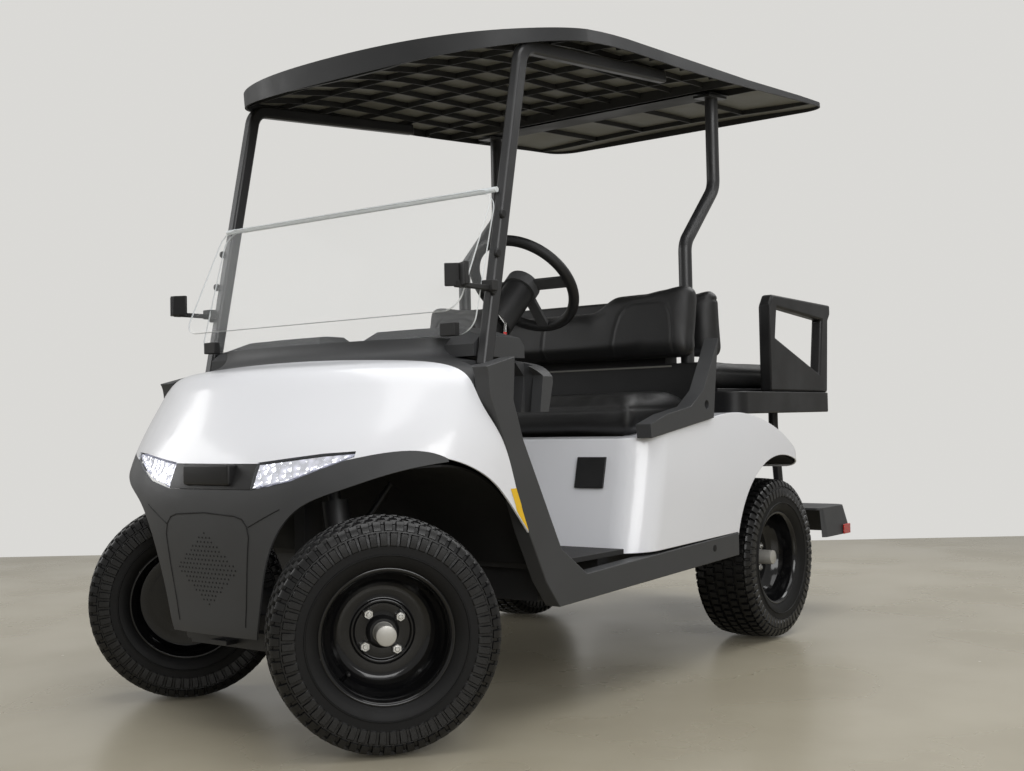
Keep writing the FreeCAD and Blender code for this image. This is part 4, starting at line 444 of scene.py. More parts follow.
SOFT_EDGES = [
    # solid, material, rounding in metres
    ("front_cowl", WHITE, 0.0012), ("rear_body", WHITE, 0.0015), ("front_fascia", CHARCOAL, 0.0012),
    ("dash", CHARCOAL, 0.004), ("rocker_panels", CHARCOAL, 0.005), ("seat_back_arms", CHARCOAL, 0.006),
    ("rear_seat_base", BLACK_PLASTIC, 0.006), ("rear_armrests", BLACK_PLASTIC, 0.008),
    ("foot_plate", CHARCOAL, 0.003),
    ("seat_back_carrier", BLACK_PLASTIC, 0.004), ("under_back_panel", BLACK_PLASTIC, 0.002),
    ("front_struts", STRUT_PAINT, 0.006), ("rear_struts", STRUT_PAINT, 0.001),
    ("rear_seat_frame", FRAME_PAINT, 0.002), ("chassis_frame", FRAME_PAINT, 0.003),
    ("steering_column", BLACK_PLASTIC, 0.003),
    ("charge_port_cover", BLACK_PLASTIC, 0.002), ("floor_pan", MAT_RUBBER, 0.002),
    ("pedals", FRAME_PAINT, 0.002), ("rear_seat_deck", FRAME_PAINT, 0.002),
    ("lamp_panel", BLACK_PLASTIC, 0.002),
    ("tail_lamps", RED_LENS, 0.003), ("foot_reflectors", RED_LENS, 0.002),
]
for row in SOFT_EDGES:
    soft_edged(*row)
print("soft-edged pieces", len(SOFT_EDGES))

# %% [markdown]
# ## Parts that only need paint
#
# Deep in the chassis the exact solids already look right, so they keep their meshes and get a finish.

# %% Finishes on the kept solids
KEPT = {
    "front_wheel_liners": LINER_BLACK, "rear_wheel_liners": LINER_BLACK, "steering_rack_housing": CASTING,
    "front_suspension_arms": FRAME_PAINT, "front_coilovers": FRAME_PAINT, "knuckle_left": CASTING,
    "knuckle_right": CASTING, "tie_rods": ZINC, "battery_pack": BLACK_PLASTIC, "rear_axle": CASTING,
    "leaf_springs": FRAME_PAINT, "rear_shocks": FRAME_PAINT, "headlamps": ACRYLIC,
    "windscreen_hinge": ACRYLIC_EDGE_PAINTED_LIGHT,
}
for solid, material in KEPT.items():
    NODES[solid].data.materials.clear()
    NODES[solid].data.materials.append(material)
print("kept solids", len(KEPT))

# %% [markdown]
# ## Rings of points
#
# Tyres, wheels, nuts and caps are all one idea: a section carried round an axle. `carried_round` takes
# where each ring lies along the axle and how far out it is, and gives back points and faces as arrays.
# `joined` puts several such parts in one mesh, each with its own material.

# %% Carrying a section round an axle
JOINTS = {joint["name"]: joint for joint in frame["record"]["behaviour"]["joints"]}


def axle_of(joint):
    return np.array(JOINTS[joint]["pos_m"]), np.array(JOINTS[joint]["axis"], float)


def carried_round(centre, axis, along, radius, angle, closed=True):
    """Point = centre + along times axis + radius times (cos angle times up + sin angle times side)."""
    start = np.array([0.0, 0.0, 1.0]) if abs(axis[2]) < 0.9 else np.array([1.0, 0.0, 0.0])
    upward = start - axis * (start @ axis)
    upward /= np.linalg.norm(upward)
    sideways = np.cross(axis, upward)
    along, radius, angle = np.broadcast_arrays(along, radius, angle)
    points = (centre + along[..., None] * axis + (radius * np.cos(angle))[..., None] * upward
              + (radius * np.sin(angle))[..., None] * sideways)
    rings, columns = along.shape
    ring = np.arange(rings if closed else rings - 1)[:, None]
    column = np.arange(columns)[None, :]
    after_ring = (ring + 1) % rings
    after_column = (column + 1) % columns
    faces = np.stack([ring * columns + column, after_ring * columns + column,
                      after_ring * columns + after_column, ring * columns + after_column], axis=-1)
    return points.reshape(-1, 3), faces.reshape(-1, 4)


def joined(name, body, parts, solids=(), sharp=38.0):
    """One piece from several (points, faces, material) parts, with its faces turned outwards."""
    points = np.concatenate([part[0] for part in parts])
    starts = np.cumsum([0] + [len(part[0]) for part in parts[:-1]])
    faces = [(part[1] + start).tolist() for part, start in zip(parts, starts)]
    mesh = bpy.data.meshes.new(name)
    mesh.from_pydata(points.tolist(), [], [face for group in faces for face in group])
    materials = list(dict.fromkeys(part[2] for part in parts))
    slots = np.concatenate([np.full(len(part[1]), materials.index(part[2])) for part in parts])
    piece = add_piece(name, mesh, *materials)
    mesh.polygons.foreach_set("material_index", slots.astype(np.int32))
    smooth(mesh, math.radians(sharp))
    work = bmesh.new()
    work.from_mesh(mesh)
    bmesh.ops.recalc_face_normals(work, faces=work.faces)
    work.to_mesh(mesh)
    work.free()
    return give(piece, body, *solids)


print("rings are ready")

# %% [markdown]
# ## Tyres
#
# The tread is five rows of small blocks. Around the tyre each pitch has four columns: where a block
# starts and ends, and where the groove after it starts and ends. Every second row is turned by half a
# pitch, so the blocks stagger. One more row rounds the shoulder, and lugs run down from it on the same
# columns, to a thin raised line on the smooth sidewall. The road polishes the blocks, so they shine a
# little more than the wall.

# %% Tyre treads
PITCHES = 60
COLUMN_SHARES = np.array([0.0, 0.60, 0.68, 0.92])
ROWS = 5
ROW_WIDTH = 0.0250
ROW_GROOVE = 0.0085
GROOVE_DEPTH = 0.0080
CROWN_RADIUS = 0.2596
CROWN_FALL = 0.9
TREAD_FROM = 0.1990
BLOCK_SIDES = [(0.0, False), (0.045, True), (0.955, True), (1.0, False)]  # share of a row's width, on top
SIDEWALL = [  # across the tyre, distance from the axle, how far a groove lies in and down there, turn
    (0.0815, 0.1504, 0.0, 0.0, 0.0), (0.0880, 0.1560, 0.0, 0.0, 0.0), (0.0945, 0.1680, 0.0, 0.0, 0.0),
    (0.0964, 0.1770, 0.0, 0.0, 0.0), (0.0990, 0.1784, 0.0, 0.0, 0.0), (0.0990, 0.1802, 0.0, 0.0, 0.0),
    (0.0966, 0.1816, 0.0, 0.0, 0.0), (0.0968, 0.1980, 0.0, 0.0, 0.0), (0.0994, 0.2004, 0.0026, 0.0, 0.0),
    (0.0997, 0.2130, 0.0046, 0.0, 0.0), (0.0984, 0.2262, 0.0052, 0.0010, 0.0),
    (0.0930, 0.2284, 0.0, 0.0, 0.0), (0.0926, 0.2312, 0.0, 0.0, 0.5), (0.0962, 0.2330, 0.0046, 0.0024, 0.5),
    (0.0928, 0.2436, 0.0050, 0.0052, 0.5), (0.0868, 0.2516, 0.0040, 0.0066, 0.5),
    (0.0842, 0.2526, 0.0, 0.0072, 0.5), (0.0836, 0.2456, 0.0, 0.0, 0.5),
]


def tread_rings():
    """For each ring: place across and distance from the axle, of blocks and of grooves, and its turn."""
    rings = []
    for across, out, inwards, down, turn in SIDEWALL:
        rings.append((-across, out, inwards - across, out - down, turn))
    pitch_across = ROW_WIDTH + ROW_GROOVE
    for row in range(ROWS):
        low = (row - ROWS // 2) * pitch_across - ROW_WIDTH / 2
        turn = 0.5 * (row % 2)
        for share, top in BLOCK_SIDES:
            across = low + ROW_WIDTH * share
            crown = CROWN_RADIUS - CROWN_FALL * across * across
            groove = crown - GROOVE_DEPTH
            rings.append((across, crown if top else groove, across, groove, turn))
    for across, out, inwards, down, turn in reversed(SIDEWALL):
        rings.append((across, out, across - inwards, out - down, turn))
    return np.array(rings)


def tyre(corner, body):
    centre, axis = axle_of("spin_" + corner)
    rings = tread_rings()
    pitch = np.repeat(np.arange(PITCHES), 4) + np.tile(COLUMN_SHARES, PITCHES)
    angle = (pitch[None, :] + rings[:, 4:5]) * 2 * math.pi / PITCHES
    on_block = np.tile(np.array([True, True, False, False]), PITCHES)[None, :]
    across = np.where(on_block, rings[:, 0:1], rings[:, 2:3])
    radius = np.where(on_block, rings[:, 1:2], rings[:, 3:4])
    points, faces = carried_round(centre, axis, across, radius, angle)
    piece = joined("tyre_" + corner + "_tread", body, [(points, faces, TYRE_RUBBER)], ["tyre_" + corner])
    piece.data.materials.append(TREAD_RUBBER)
    least_out = np.minimum(rings[:, 3], np.roll(rings[:, 3], -1))
    on_tread = np.repeat(least_out > TREAD_FROM, radius.shape[1])
    piece.data.polygons.foreach_set("material_index", on_tread.astype(np.int32))
    return piece


CORNERS = [("front_left", "wheel_fl"), ("front_right", "wheel_fr"), ("rear_left", "wheel_rl"),
           ("rear_right", "wheel_rr")]
tyres = [tyre(corner, body) for corner, body in CORNERS]
print("tyres", len(tyres), "faces each", len(tyres[0].data.polygons))

# %% [markdown]
# ## Wheels, nuts and hub caps
#
# A pressed steel wheel is one sheet rolled into rim, well and disc, painted gloss black. Its section is
# listed corner by corner, and each corner is rounded with a short curve before it goes round. Four zinc
# nuts and a bright hub cap sit on the disc, with a dark dust seal behind the cap.

# %% Wheels
WHEEL_SECTION = [  # along the axle, distance from it, in metres
    (0.0820, 0.1500), (0.0740, 0.1500), (0.0660, 0.1400), (0.0248, 0.1400), (0.0062, 0.1320),
    (-0.0186, 0.1320), (-0.0372, 0.1400), (-0.0660, 0.1400), (-0.0740, 0.1500), (-0.0820, 0.1500),
    (-0.0820, 0.1450), (-0.0660, 0.1350), (-0.0372, 0.1350), (-0.0136, 0.1270), (-0.0155, 0.0980),
    (-0.0155, 0.0350), (-0.0330, 0.0315), (-0.0330, 0.0150), (0.0100, 0.0150), (0.0100, 0.0250),
    (-0.0050, 0.0330), (-0.0095, 0.0350), (-0.0095, 0.0620), (-0.0060, 0.0660), (-0.0060, 0.0700),
    (-0.0095, 0.0740), (-0.0095, 0.0930), (-0.0082, 0.1010), (-0.0042, 0.1090), (0.0030, 0.1170),
    (0.0125, 0.1245), (0.0230, 0.1305), (0.0360, 0.1350), (0.0640, 0.1362), (0.0730, 0.1384),
    (0.0790, 0.1420), (0.0822, 0.1462),
]
SEAL = [(-0.0093, 0.0375), (-0.0040, 0.0375), (0.0040, 0.0345), (0.0102, 0.0300), (0.0104, 0.0235)]
CAP = [(0.0100, 0.0240), (0.0180, 0.0240), (0.0184, 0.0232), (0.0620, 0.0232), (0.0648, 0.0224),
       (0.0660, 0.0202), (0.0660, 0.0001)]
NUT = [(-0.0093, 0.0122), (-0.0085, 0.0122), (0.0035, 0.0118), (0.0050, 0.0100), (0.0050, 0.0056)]
STUD = [(0.0046, 0.0056), (0.0080, 0.0056), (0.0090, 0.0046), (0.0090, 0.0001)]
VALVE = [(0.0030, 0.0045), (0.0180, 0.0045), (0.0190, 0.0035), (0.0280, 0.0035), (0.0290, 0.0001)]
STUD_CIRCLE = 0.0508
STUD_TURNS = np.radians([38.0, 128.0, 218.0, 308.0])
VALVE_CIRCLE = 0.1180
VALVE_TURN = 2.4


def rounded_corners(section, cut=0.0016):
    """Each corner becomes three points: a little before it, near it, and a little after it."""
    corner = np.array(section)
    before = np.roll(corner, 1, axis=0) - corner
    after = np.roll(corner, -1, axis=0) - corner
    first_length = np.linalg.norm(before, axis=1, keepdims=True)
    last_length = np.linalg.norm(after, axis=1, keepdims=True)
    first = corner + before / first_length * np.minimum(cut, first_length * 0.4)
    last = corner + after / last_length * np.minimum(cut, last_length * 0.4)
    middle = (first + 2 * corner + last) / 4
    return np.stack([first, middle, last], axis=1).reshape(-1, 2)


def full_turn(columns):
    return (np.arange(columns) * 2 * math.pi / columns)[None, :]


def turned_part(centre, axis, section, columns, material):
    """A closed or capped section carried all the way round."""
    section = np.array(section)
    points, faces = carried_round(centre, axis, section[:, 0:1], section[:, 1:2], full_turn(columns), False)
    return points, faces, material


def wheel(corner, body):
    centre, axis = axle_of("spin_" + corner)
    upward = np.array([0.0, 0.0, 1.0])
    sideways = np.cross(axis, upward)
    section = rounded_corners(WHEEL_SECTION)
    points, faces = carried_round(centre, axis, section[:, 0:1], section[:, 1:2], full_turn(112))
    joined("wheel_" + corner + "_rim", body, [(points, faces, WHEEL_PAINT)], ["wheel_" + corner])
    parts = [turned_part(centre, axis, SEAL, 40, BLACK_PLASTIC),
             turned_part(centre, axis, CAP, 40, BRUSHED_CAP)]
    for turn in STUD_TURNS:
        place = centre + STUD_CIRCLE * (math.cos(turn) * upward + math.sin(turn) * sideways)
        parts += [turned_part(place, axis, NUT, 6, ZINC), turned_part(place, axis, STUD, 12, ZINC)]
    stem = centre + VALVE_CIRCLE * (math.cos(VALVE_TURN) * upward + math.sin(VALVE_TURN) * sideways)
    parts.append(turned_part(stem, axis, VALVE, 12, BLACK_PLASTIC))
    joined("wheel_" + corner + "_hub", body, parts, sharp=30.0)


for corner, body in CORNERS:
    wheel(corner, body)
print("wheels", len(CORNERS))

# %% [markdown]
# ## Cushions
#
# Vinyl stretched over foam bulges between its seams. Each cushion starts as its solid, drawn in a
# little, and is rebuilt from even small faces. Then a short cloth simulation blows it up like a
# balloon, with a limit on how far any point may move. Seams come last: each is a line drawn on the
# cushion from the front or from above, and points near it sink in.

# %% Stuffing and seams
AIR_PRESSURE = 4.0
FRAMES = 20
SEAM_FADE = 2.5


def evaluated_copy(thing):
    """The mesh as its modifiers leave it."""
    graph = bpy.context.evaluated_depsgraph_get()
    return bpy.data.meshes.new_from_object(thing.evaluated_get(graph), depsgraph=graph)


def coordinates(mesh, field="co"):
    flat = np.empty(len(mesh.vertices) * 3)
    mesh.vertices.foreach_get(field, flat)
    return flat.reshape(-1, 3)


def even_faces(solid, inset, voxel, shape):
    """The solid, drawn in by inset on every side, reshaped, and rebuilt from faces of one size."""
    mesh = NODES[solid].data.copy()
    mesh.materials.clear()
    points = coordinates(mesh)
    low, high = points.min(axis=0), points.max(axis=0)
    middle = (low + high) / 2
    points = middle + (points - middle) * (1 - 2 * np.array(inset) / (high - low))
    mesh.vertices.foreach_set("co", points.ravel())
    start = add_piece(solid + "_start", mesh)
    rebuild = start.modifiers.new("Even faces", "REMESH")
    rebuild.mode = "VOXEL"
    rebuild.voxel_size = voxel
    even = evaluated_copy(start)
    bpy.data.objects.remove(start)
    points = shape(coordinates(even), low, high)
    even.vertices.foreach_set("co", points.ravel())
    return even


def blown_up(thing, limit):
    """Pressure without gravity for a few frames, then each point's path is cut to the limit."""
    before = coordinates(thing.data)
    cloth = thing.modifiers.new("Air", "CLOTH")
    cloth.settings.use_pressure = True
    cloth.settings.uniform_pressure_force = AIR_PRESSURE
    cloth.settings.effector_weights.gravity = 0.0
    cloth.settings.quality = 4
    cloth.point_cache.frame_end = FRAMES
    for step in range(1, FRAMES + 1):
        scene.frame_set(step)
    path = coordinates(evaluated_copy(thing)) - before
    thing.modifiers.remove(cloth)
    length = np.linalg.norm(path, axis=1, keepdims=True)
    after = before + path * np.minimum(1.0, limit / np.maximum(length, 1e-9))
    thing.data.vertices.foreach_set("co", after.ravel())


def distance_to_line(points, line):
    """Least distance in the plane from each point to a line of straight runs."""
    best = np.full(len(points), np.inf)
    for start, end in zip(line, line[1:]):
        start, way = np.array(start), np.array(end) - np.array(start)
        share = np.clip(((points - start) @ way) / (way @ way), 0.0, 1.0)
        best = np.minimum(best, np.linalg.norm(points - start - share[:, None] * way, axis=1))
    return best


def sew(thing, seams):
    """Each seam: two axes it is drawn on, the side it shows on, its points, width and depth.

    A point sinks by depth times a bell curve of its distance, less where its face turns away.
    """
    mesh = thing.data
    points, normals = coordinates(mesh), coordinates(mesh, "normal")
    sink = np.zeros(len(points))
    for axes, side, line, width, depth in seams:
        distance = distance_to_line(points[:, axes], line)
        facing = np.clip(normals @ np.array(side, float) * SEAM_FADE, 0.0, 1.0)
        sink = np.maximum(sink, depth * np.exp(-(distance / width) ** 2) * facing)
    mesh.vertices.foreach_set("co", (points - normals * sink[:, None]).ravel())


def stuffed(solid, inset, limit, voxel, shape, seams):
    """Even faces, blown up, settled by a little smoothing, made finer, and sewn."""
    mesh = even_faces(solid, inset, voxel, shape)
    thing = add_piece(solid + "_vinyl", mesh, VINYL)
    blown_up(thing, limit)
    mesh.update()
    smooth(mesh)
    settle = thing.modifiers.new("Settle", "SMOOTH")
    settle.factor = 0.5
    settle.iterations = 6
    settled = coordinates(evaluated_copy(thing))
    thing.modifiers.remove(settle)
    mesh.vertices.foreach_set("co", settled.ravel())
    mesh.update()
    finer = thing.modifiers.new("Finer", "SUBSURF")
    finer.levels = 1
    finer.render_levels = 1
    fine = evaluated_copy(thing)
    thing.modifiers.remove(finer)
    thing.data = fine
    sew(thing, seams)
    give(thing, BODY_OF[solid], solid)


print("stuffing is ready")

# %% [markdown]
# ## The four cushions
#
# The front back rest is raised into two heads with a dip between them, and each head has an arched seam.
# The other three have a band sewn all round, a little below their top edge.

# %% Cushions
DIP_DEPTH = 0.046
DIP_HALF = 0.16
DIP_SLOPE = 0.11
ROLL_DEPTH = 0.012
ROLL_SHARE = 0.16
SEAM_WIDTH = 0.0035
SEAM_DEPTH = 0.0035


def as_it_is(points, low, high):
    return points


def two_heads(points, low, high):
    """The top sinks in the middle by the dip's depth; a smooth step on each side leads up to the heads."""
    share = np.clip((np.abs(points[:, 0]) - DIP_HALF) / DIP_SLOPE, 0.0, 1.0)
    raised = share * share * (3 - 2 * share)
    height = np.clip((points[:, 2] - low[2]) / (high[2] - low[2]), 0.0, 1.0)
    points[:, 2] -= DIP_DEPTH * (1 - raised) * height ** 2
    return points


def rolled_front(points, low, high):
    """The top sinks towards the knees: a bell curve of the distance from the front edge."""
    along = np.clip((points[:, 1] - low[1]) / (high[1] - low[1]), 0.0, 1.0)
    height = np.clip((points[:, 2] - low[2]) / (high[2] - low[2]), 0.0, 1.0)
    points[:, 2] -= ROLL_DEPTH * height * np.exp(-(along / ROLL_SHARE) ** 2)
    return points


def band_seams(solid, drop):
    """A level seam all round, drop below the top."""
    low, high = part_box(solid)
    level = high[2] - drop
    seams = []
    for axis, out in ((0, 1), (1, 0)):
        ends = [(low[axis] - 1, level), (high[axis] + 1, level)]
        for sign in (-1, 1):
            side = [0, 0, 0]
            side[out] = sign
            seams.append(([axis, 2], side, ends, SEAM_WIDTH, SEAM_DEPTH))
    return seams


def head_seams():
    """An arch on each head, a short middle seam and one near each end, all seen from the front."""
    front = (0, -1, 0)
    arch = [(0.262, 0.925), (0.272, 1.000), (0.285, 1.045), (0.305, 1.070), (0.335, 1.082), (0.430, 1.082),
            (0.452, 1.072), (0.466, 1.045), (0.474, 1.000), (0.480, 0.925)]
    seams = []
    for side in (-1, 1):
        seams.append(([0, 2], front, [(side * x, z) for x, z in arch], 0.004, 0.0035))
        seams.append(([0, 2], front, [(side * 0.524, 0.90), (side * 0.524, 1.10)], 0.006, 0.004))
    seams.append(([0, 2], front, [(0.0, 0.92), (0.0, 1.01)], 0.004, 0.003))
    return seams


CUSHIONS = [
    # solid, drawn in by, swells by at most, size of the even faces, shape, seams
    ("front_seat_back", (0.008, 0.008, 0.002), 0.014, 0.010, two_heads, head_seams()),
    ("front_seat_cushion", (0.008, 0.008, 0.004), 0.022, 0.011, rolled_front,
     band_seams("front_seat_cushion", 0.036)),
    ("rear_seat_back", (0.008, 0.008, 0.004), 0.014, 0.010, as_it_is, band_seams("rear_seat_back", 0.036)),
    ("rear_seat_cushion", (0.006, 0.006, 0.006), 0.014, 0.011, as_it_is,
     band_seams("rear_seat_cushion", 0.030)),
]
for row in CUSHIONS:
    stuffed(*row)
print("cushions", len(CUSHIONS))

# %% [markdown]
# ## Details that lie on a surface
#
# A dot or a line is easiest to draw flat, seen from one side. A ray from each flat point then finds the
# surface, and the detail is built there. Lines become thin half-sunk tubes; dark ones are painted shade,
# which makes them read as grooves, and light ones read as piping.

# %% Finding the surface
SURFACES = {}


def surface_of(solid):
    if solid not in SURFACES:
        work = bmesh.new()
        work.from_mesh(NODES[solid].data)
        SURFACES[solid] = BVHTree.FromBMesh(work)
        work.free()
    return SURFACES[solid]


def drop_on(solid, points, way):
    """Each point slides along way until it meets the solid; gives places and outward directions."""
    tree = surface_of(solid)
    places, outward = [], []
    for point in points:
        place, normal, index, distance = tree.ray_cast(Vector(point), Vector(way))
        if place is not None:
            places.append(place)
            outward.append(normal if normal.dot(Vector(way)) < 0 else -normal)
    return np.array(places), np.array(outward)


def divided(line, step):
    """A line of straight runs as points about one step apart."""
    line = np.array(line, float)
    points = [line[:1]]
    for start, end in zip(line, line[1:]):
        count = max(1, int(round(np.linalg.norm(end - start) / step)))
        points.append(start + (end - start) * (np.arange(1, count + 1) / count)[:, None])
    return np.concatenate(points)


def tube(points, outward, radius, sides=6):
    """A ring of points square to the line at each place; the rings follow the surface's direction."""
    along = np.gradient(points, axis=0)
    along /= np.linalg.norm(along, axis=1, keepdims=True)
    across = np.cross(along, outward)
    across /= np.linalg.norm(across, axis=1, keepdims=True)
    above = np.cross(across, along)
    angle = (np.arange(sides) * 2 * math.pi / sides)[None, :, None]
    rings = points[:, None] + radius * (np.cos(angle) * across[:, None] + np.sin(angle) * above[:, None])
    ring = np.arange(len(points) - 1)[:, None] * sides
    side = np.arange(sides)[None, :]
    after = (side + 1) % sides
    faces = np.stack([ring + side, ring + after, ring + sides + after, ring + sides + side], axis=-1)
    return rings.reshape(-1, 3), faces.reshape(-1, 4)


def line_on(solid, line, way, radius, material, step=0.006):
    places, outward = drop_on(solid, divided(line, step), way)
    points, faces = tube(places, outward, radius)
    return points, faces, material


print("surface tools are ready")

# %% [markdown]
# ## Reflectors behind the lenses
#
# Behind each clear headlamp lens sits a reflector with many facets, which stay visible when the lamps are
# off because they glow with painted light: an emission colour, bright and dark by turns. It is a smaller
# copy of the lens, moved inwards along its own normals, so it follows the lens all the way round.

# %% Headlamp reflectors


def reflector_painted_glow():
    # Painted light: the reflector glows with its own emission colour, bright and dark by facet, as painted
    # glints.
    finish = Finish("reflector_painted_glow", (0.86, 0.87, 0.92), 0.12, Metallic=0.85, Emission_Strength=0.55)
    facets = finish.cells(62.0)
    finish.colours(facets * 1.4, (0.75, 0.76, 0.95), (0.16, 0.17, 0.22), "Emission Color")
    finish.bump(facets, 0.004)
    return finish.material


def moved_inwards(solid, depth, material, name):
    """Every point moves by depth against its own normal."""
    mesh = NODES[solid].data.copy()
    mesh.materials.clear()
    work = bmesh.new()
    work.from_mesh(mesh)
    bmesh.ops.remove_doubles(work, verts=work.verts, dist=SAME_PLACE)
    work.to_mesh(mesh)
    work.free()
    moved = coordinates(mesh) - coordinates(mesh, "normal") * depth
    mesh.vertices.foreach_set("co", moved.ravel())
    give(add_piece(name, mesh, material), BODY_OF[solid])


moved_inwards("headlamps", 0.007, reflector_painted_glow(), "headlamp_reflectors_painted_glow")
print("reflectors ready")

# %% [markdown]
# ## The fascia's centre panel
#
# The fascia has a raised centre panel with a diamond of small dimples, and a crease runs from it to each
# lamp. The lines and the dimples are near-black, as painted shade where they sink in; they are drawn flat
# and found on the surface by rays from the front.

# %% Fascia panel and dimples
FRONT_Y = -1.064054
FORWARD = (0.0, 1.0, 0.0)
DIMPLE = [(0.0002, 0.0026), (0.0007, 0.0021), (0.0005, 0.0001)]
DOT_STEP = 0.0125
DOT_ROWS = 0.0105
FIELD_MIDDLE = 0.392
FIELD_HALF_WIDTH = 0.112
FIELD_HALF_HEIGHT = 0.092


def from_front(x, z):
    return (x, -2.0, z)


HALF_PANEL = [(0.118, 0.262), (0.148, 0.470), (0.143, 0.494), (0.128, 0.511), (0.104, 0.518)]
panel_line = HALF_PANEL + [(0.0, 0.524)] + [(-x, z) for x, z in reversed(HALF_PANEL)]
# Painted shade: the panel's outline, the creases and the dimples are near-black tubes and dots where they
# sink in.
parts = [line_on("front_fascia", [from_front(x, z) for x, z in panel_line], FORWARD, 0.0016, LINER_BLACK)]
for side in (-1, 1):
    crease = [from_front(side * 0.147, 0.494), from_front(side * 0.236, 0.536)]
    parts.append(line_on("front_fascia", crease, FORWARD, 0.0014, LINER_BLACK))
dots = []
for row in range(-9, 10):
    for column in range(-10, 11):
        x = column * DOT_STEP + (row % 2) * DOT_STEP / 2
        z = row * DOT_ROWS
        if abs(x) / FIELD_HALF_WIDTH + abs(z) / FIELD_HALF_HEIGHT < 1.0:
            dots.append(from_front(x, FIELD_MIDDLE + z))
places, outward = drop_on("front_fascia", dots, FORWARD)
for place, way in zip(places, outward):
    parts.append(turned_part(place, way, DIMPLE, 8, LINER_BLACK))
joined("fascia_relief_painted_shade", "cart", parts, sharp=60.0)
print("fascia dimples", len(places))

# %% [markdown]
# ## The block between the lamps
#
# A rounded block sits on the black panel between the lamps and stays blank. A cube with well rounded
# edges is enough; one ray finds the panel's face, and the block stands on it.

# %% Lamp block


def rounded_block(name, body, centre, size, radius, material):
    """A block with well rounded edges."""
    work = bmesh.new()
    bmesh.ops.create_cube(work, size=1.0)
    bmesh.ops.scale(work, vec=Vector(size), verts=work.verts)
    bmesh.ops.translate(work, vec=Vector(centre), verts=work.verts)
    bmesh.ops.bevel(work, geom=list(work.edges), offset=radius, segments=4, profile=0.5, affect="EDGES")
    mesh = bpy.data.meshes.new(name)
    work.to_mesh(mesh)
    work.free()
    smooth(mesh)
    give(add_piece(name, mesh, material), body)


block_face = drop_on("lamp_panel", [from_front(0.0, 0.613)], FORWARD)[0][0]
rounded_block("lamp_block", "cart", (0.0, block_face[1] - 0.001, 0.612), (0.165, 0.030, 0.050), 0.007,
              BLACK_PLASTIC)
print("block on", block_face.round(3).tolist())

# %% [markdown]
# ## Knobs and plugs
#
# Knobs on the front struts hold the windscreen, and plugs close the jacking holes in the rockers. Each
# is a short profile carried round an axis that points sideways, so one table holds them all.

# %% Knobs and plugs
KNOB = [(0.0, 0.0105), (0.0060, 0.0105), (0.0085, 0.0085), (0.0085, 0.0001)]
PLUG = [(0.0, 0.010), (0.0018, 0.0098), (0.0026, 0.0001)]
FITTINGS = [
    # from the middle, behind the front, height, profile, points round, material
    (0.5135, 0.282, 1.229, KNOB, 18, BLACK_PLASTIC), (0.5135, 0.258, 1.131, KNOB, 18, BLACK_PLASTIC),
    (0.5135, 0.238, 1.038, KNOB, 18, BLACK_PLASTIC), (0.5915, 1.187, 0.336, PLUG, 20, LINER_BLACK),
]
parts = []
for side in (-1, 1):
    axis = np.array([float(side), 0.0, 0.0])
    for x, y, z, profile, columns, material in FITTINGS:
        place = np.array([side * x, FRONT_Y + y, z])
        parts.append(turned_part(place, axis, profile, columns, material))
joined("small_fittings", "cart", parts, sharp=35.0)
print("fittings", len(parts))

# %% [markdown]
# ## A label on the cowl
#
# A plain yellow label sticks on the cowl, right in front of the trim's slanted edge. Rays from the side
# find that edge at several heights, and the label is a narrow grid that follows it on the cowl.

# %% Label
INWARDS = (-1.0, 0.0, 0.0)
LABEL_HEIGHTS = np.linspace(0.566, 0.462, 9)
LABEL_WIDTH = 0.022
LABEL_LIFT = 0.0008
RAY_STEP = 0.002


def trim_band():
    """Rays from the side find the trim's front edge at each height; the band lies on the cowl before it."""
    rows = []
    for height in LABEL_HEIGHTS:
        line = [(1.2, FRONT_Y + y, height) for y in np.arange(0.06, 0.46, RAY_STEP)]
        cowl, outward = drop_on("front_cowl", line, INWARDS)
        cowl = cowl[outward[:, 0] > 0.6]
        trim = drop_on("rocker_panels", line, INWARDS)[0]
        edge = trim[:, 1].min() - RAY_STEP
        y = np.maximum(edge - LABEL_WIDTH * np.array([0.0, 0.5, 1.0]), cowl[:, 1].min() + RAY_STEP)
        x = np.interp(y, cowl[:, 1], cowl[:, 0])
        rows.append(np.stack([x + LABEL_LIFT, y, np.full(3, height)], axis=1))
    return np.concatenate(rows)


def label_paint():
    finish = Finish("label", (0.86, 0.52, 0.02), 0.38)
    finish.colours(finish.noise(160.0, 3.0) * 0.5, (0.88, 0.55, 0.02), (0.72, 0.42, 0.03))
    return finish.material


places = trim_band()
first = (np.arange(len(LABEL_HEIGHTS) - 1)[:, None] * 3 + np.arange(2)[None, :]).ravel()
faces = np.stack([first, first + 1, first + 4, first + 3], axis=1)
joined("cowl_label", "cart", [(places, faces, label_paint())])
print("label from", places.min(axis=0).round(3).tolist(), "to", places.max(axis=0).round(3).tolist())

# %% [markdown]
# ## Clear panes
#
# A pane is two materials: its broad faces are clear and its sawn edges are painted pale, as painted light
# for the light that enters the sheet and comes out there. The largest face tells which way is broad, and
# every face that turns away from it is an edge.

# %% Panes
THIN_ROUNDING = 0.0004


def two_finishes(name, solid, first, second, choose):
    """A copy of the solid whose faces take the second finish where choose says so."""
    piece = soft_edged(solid, first, THIN_ROUNDING, name)
    mesh = piece.data
    mesh.materials.append(second)
    mesh.polygons.foreach_set("material_index", choose(mesh).astype(np.int32))
    return piece


def polygon_values(mesh, field):
    flat = np.empty(len(mesh.polygons) * 3)
    mesh.polygons.foreach_get(field, flat)
    return flat.reshape(-1, 3)


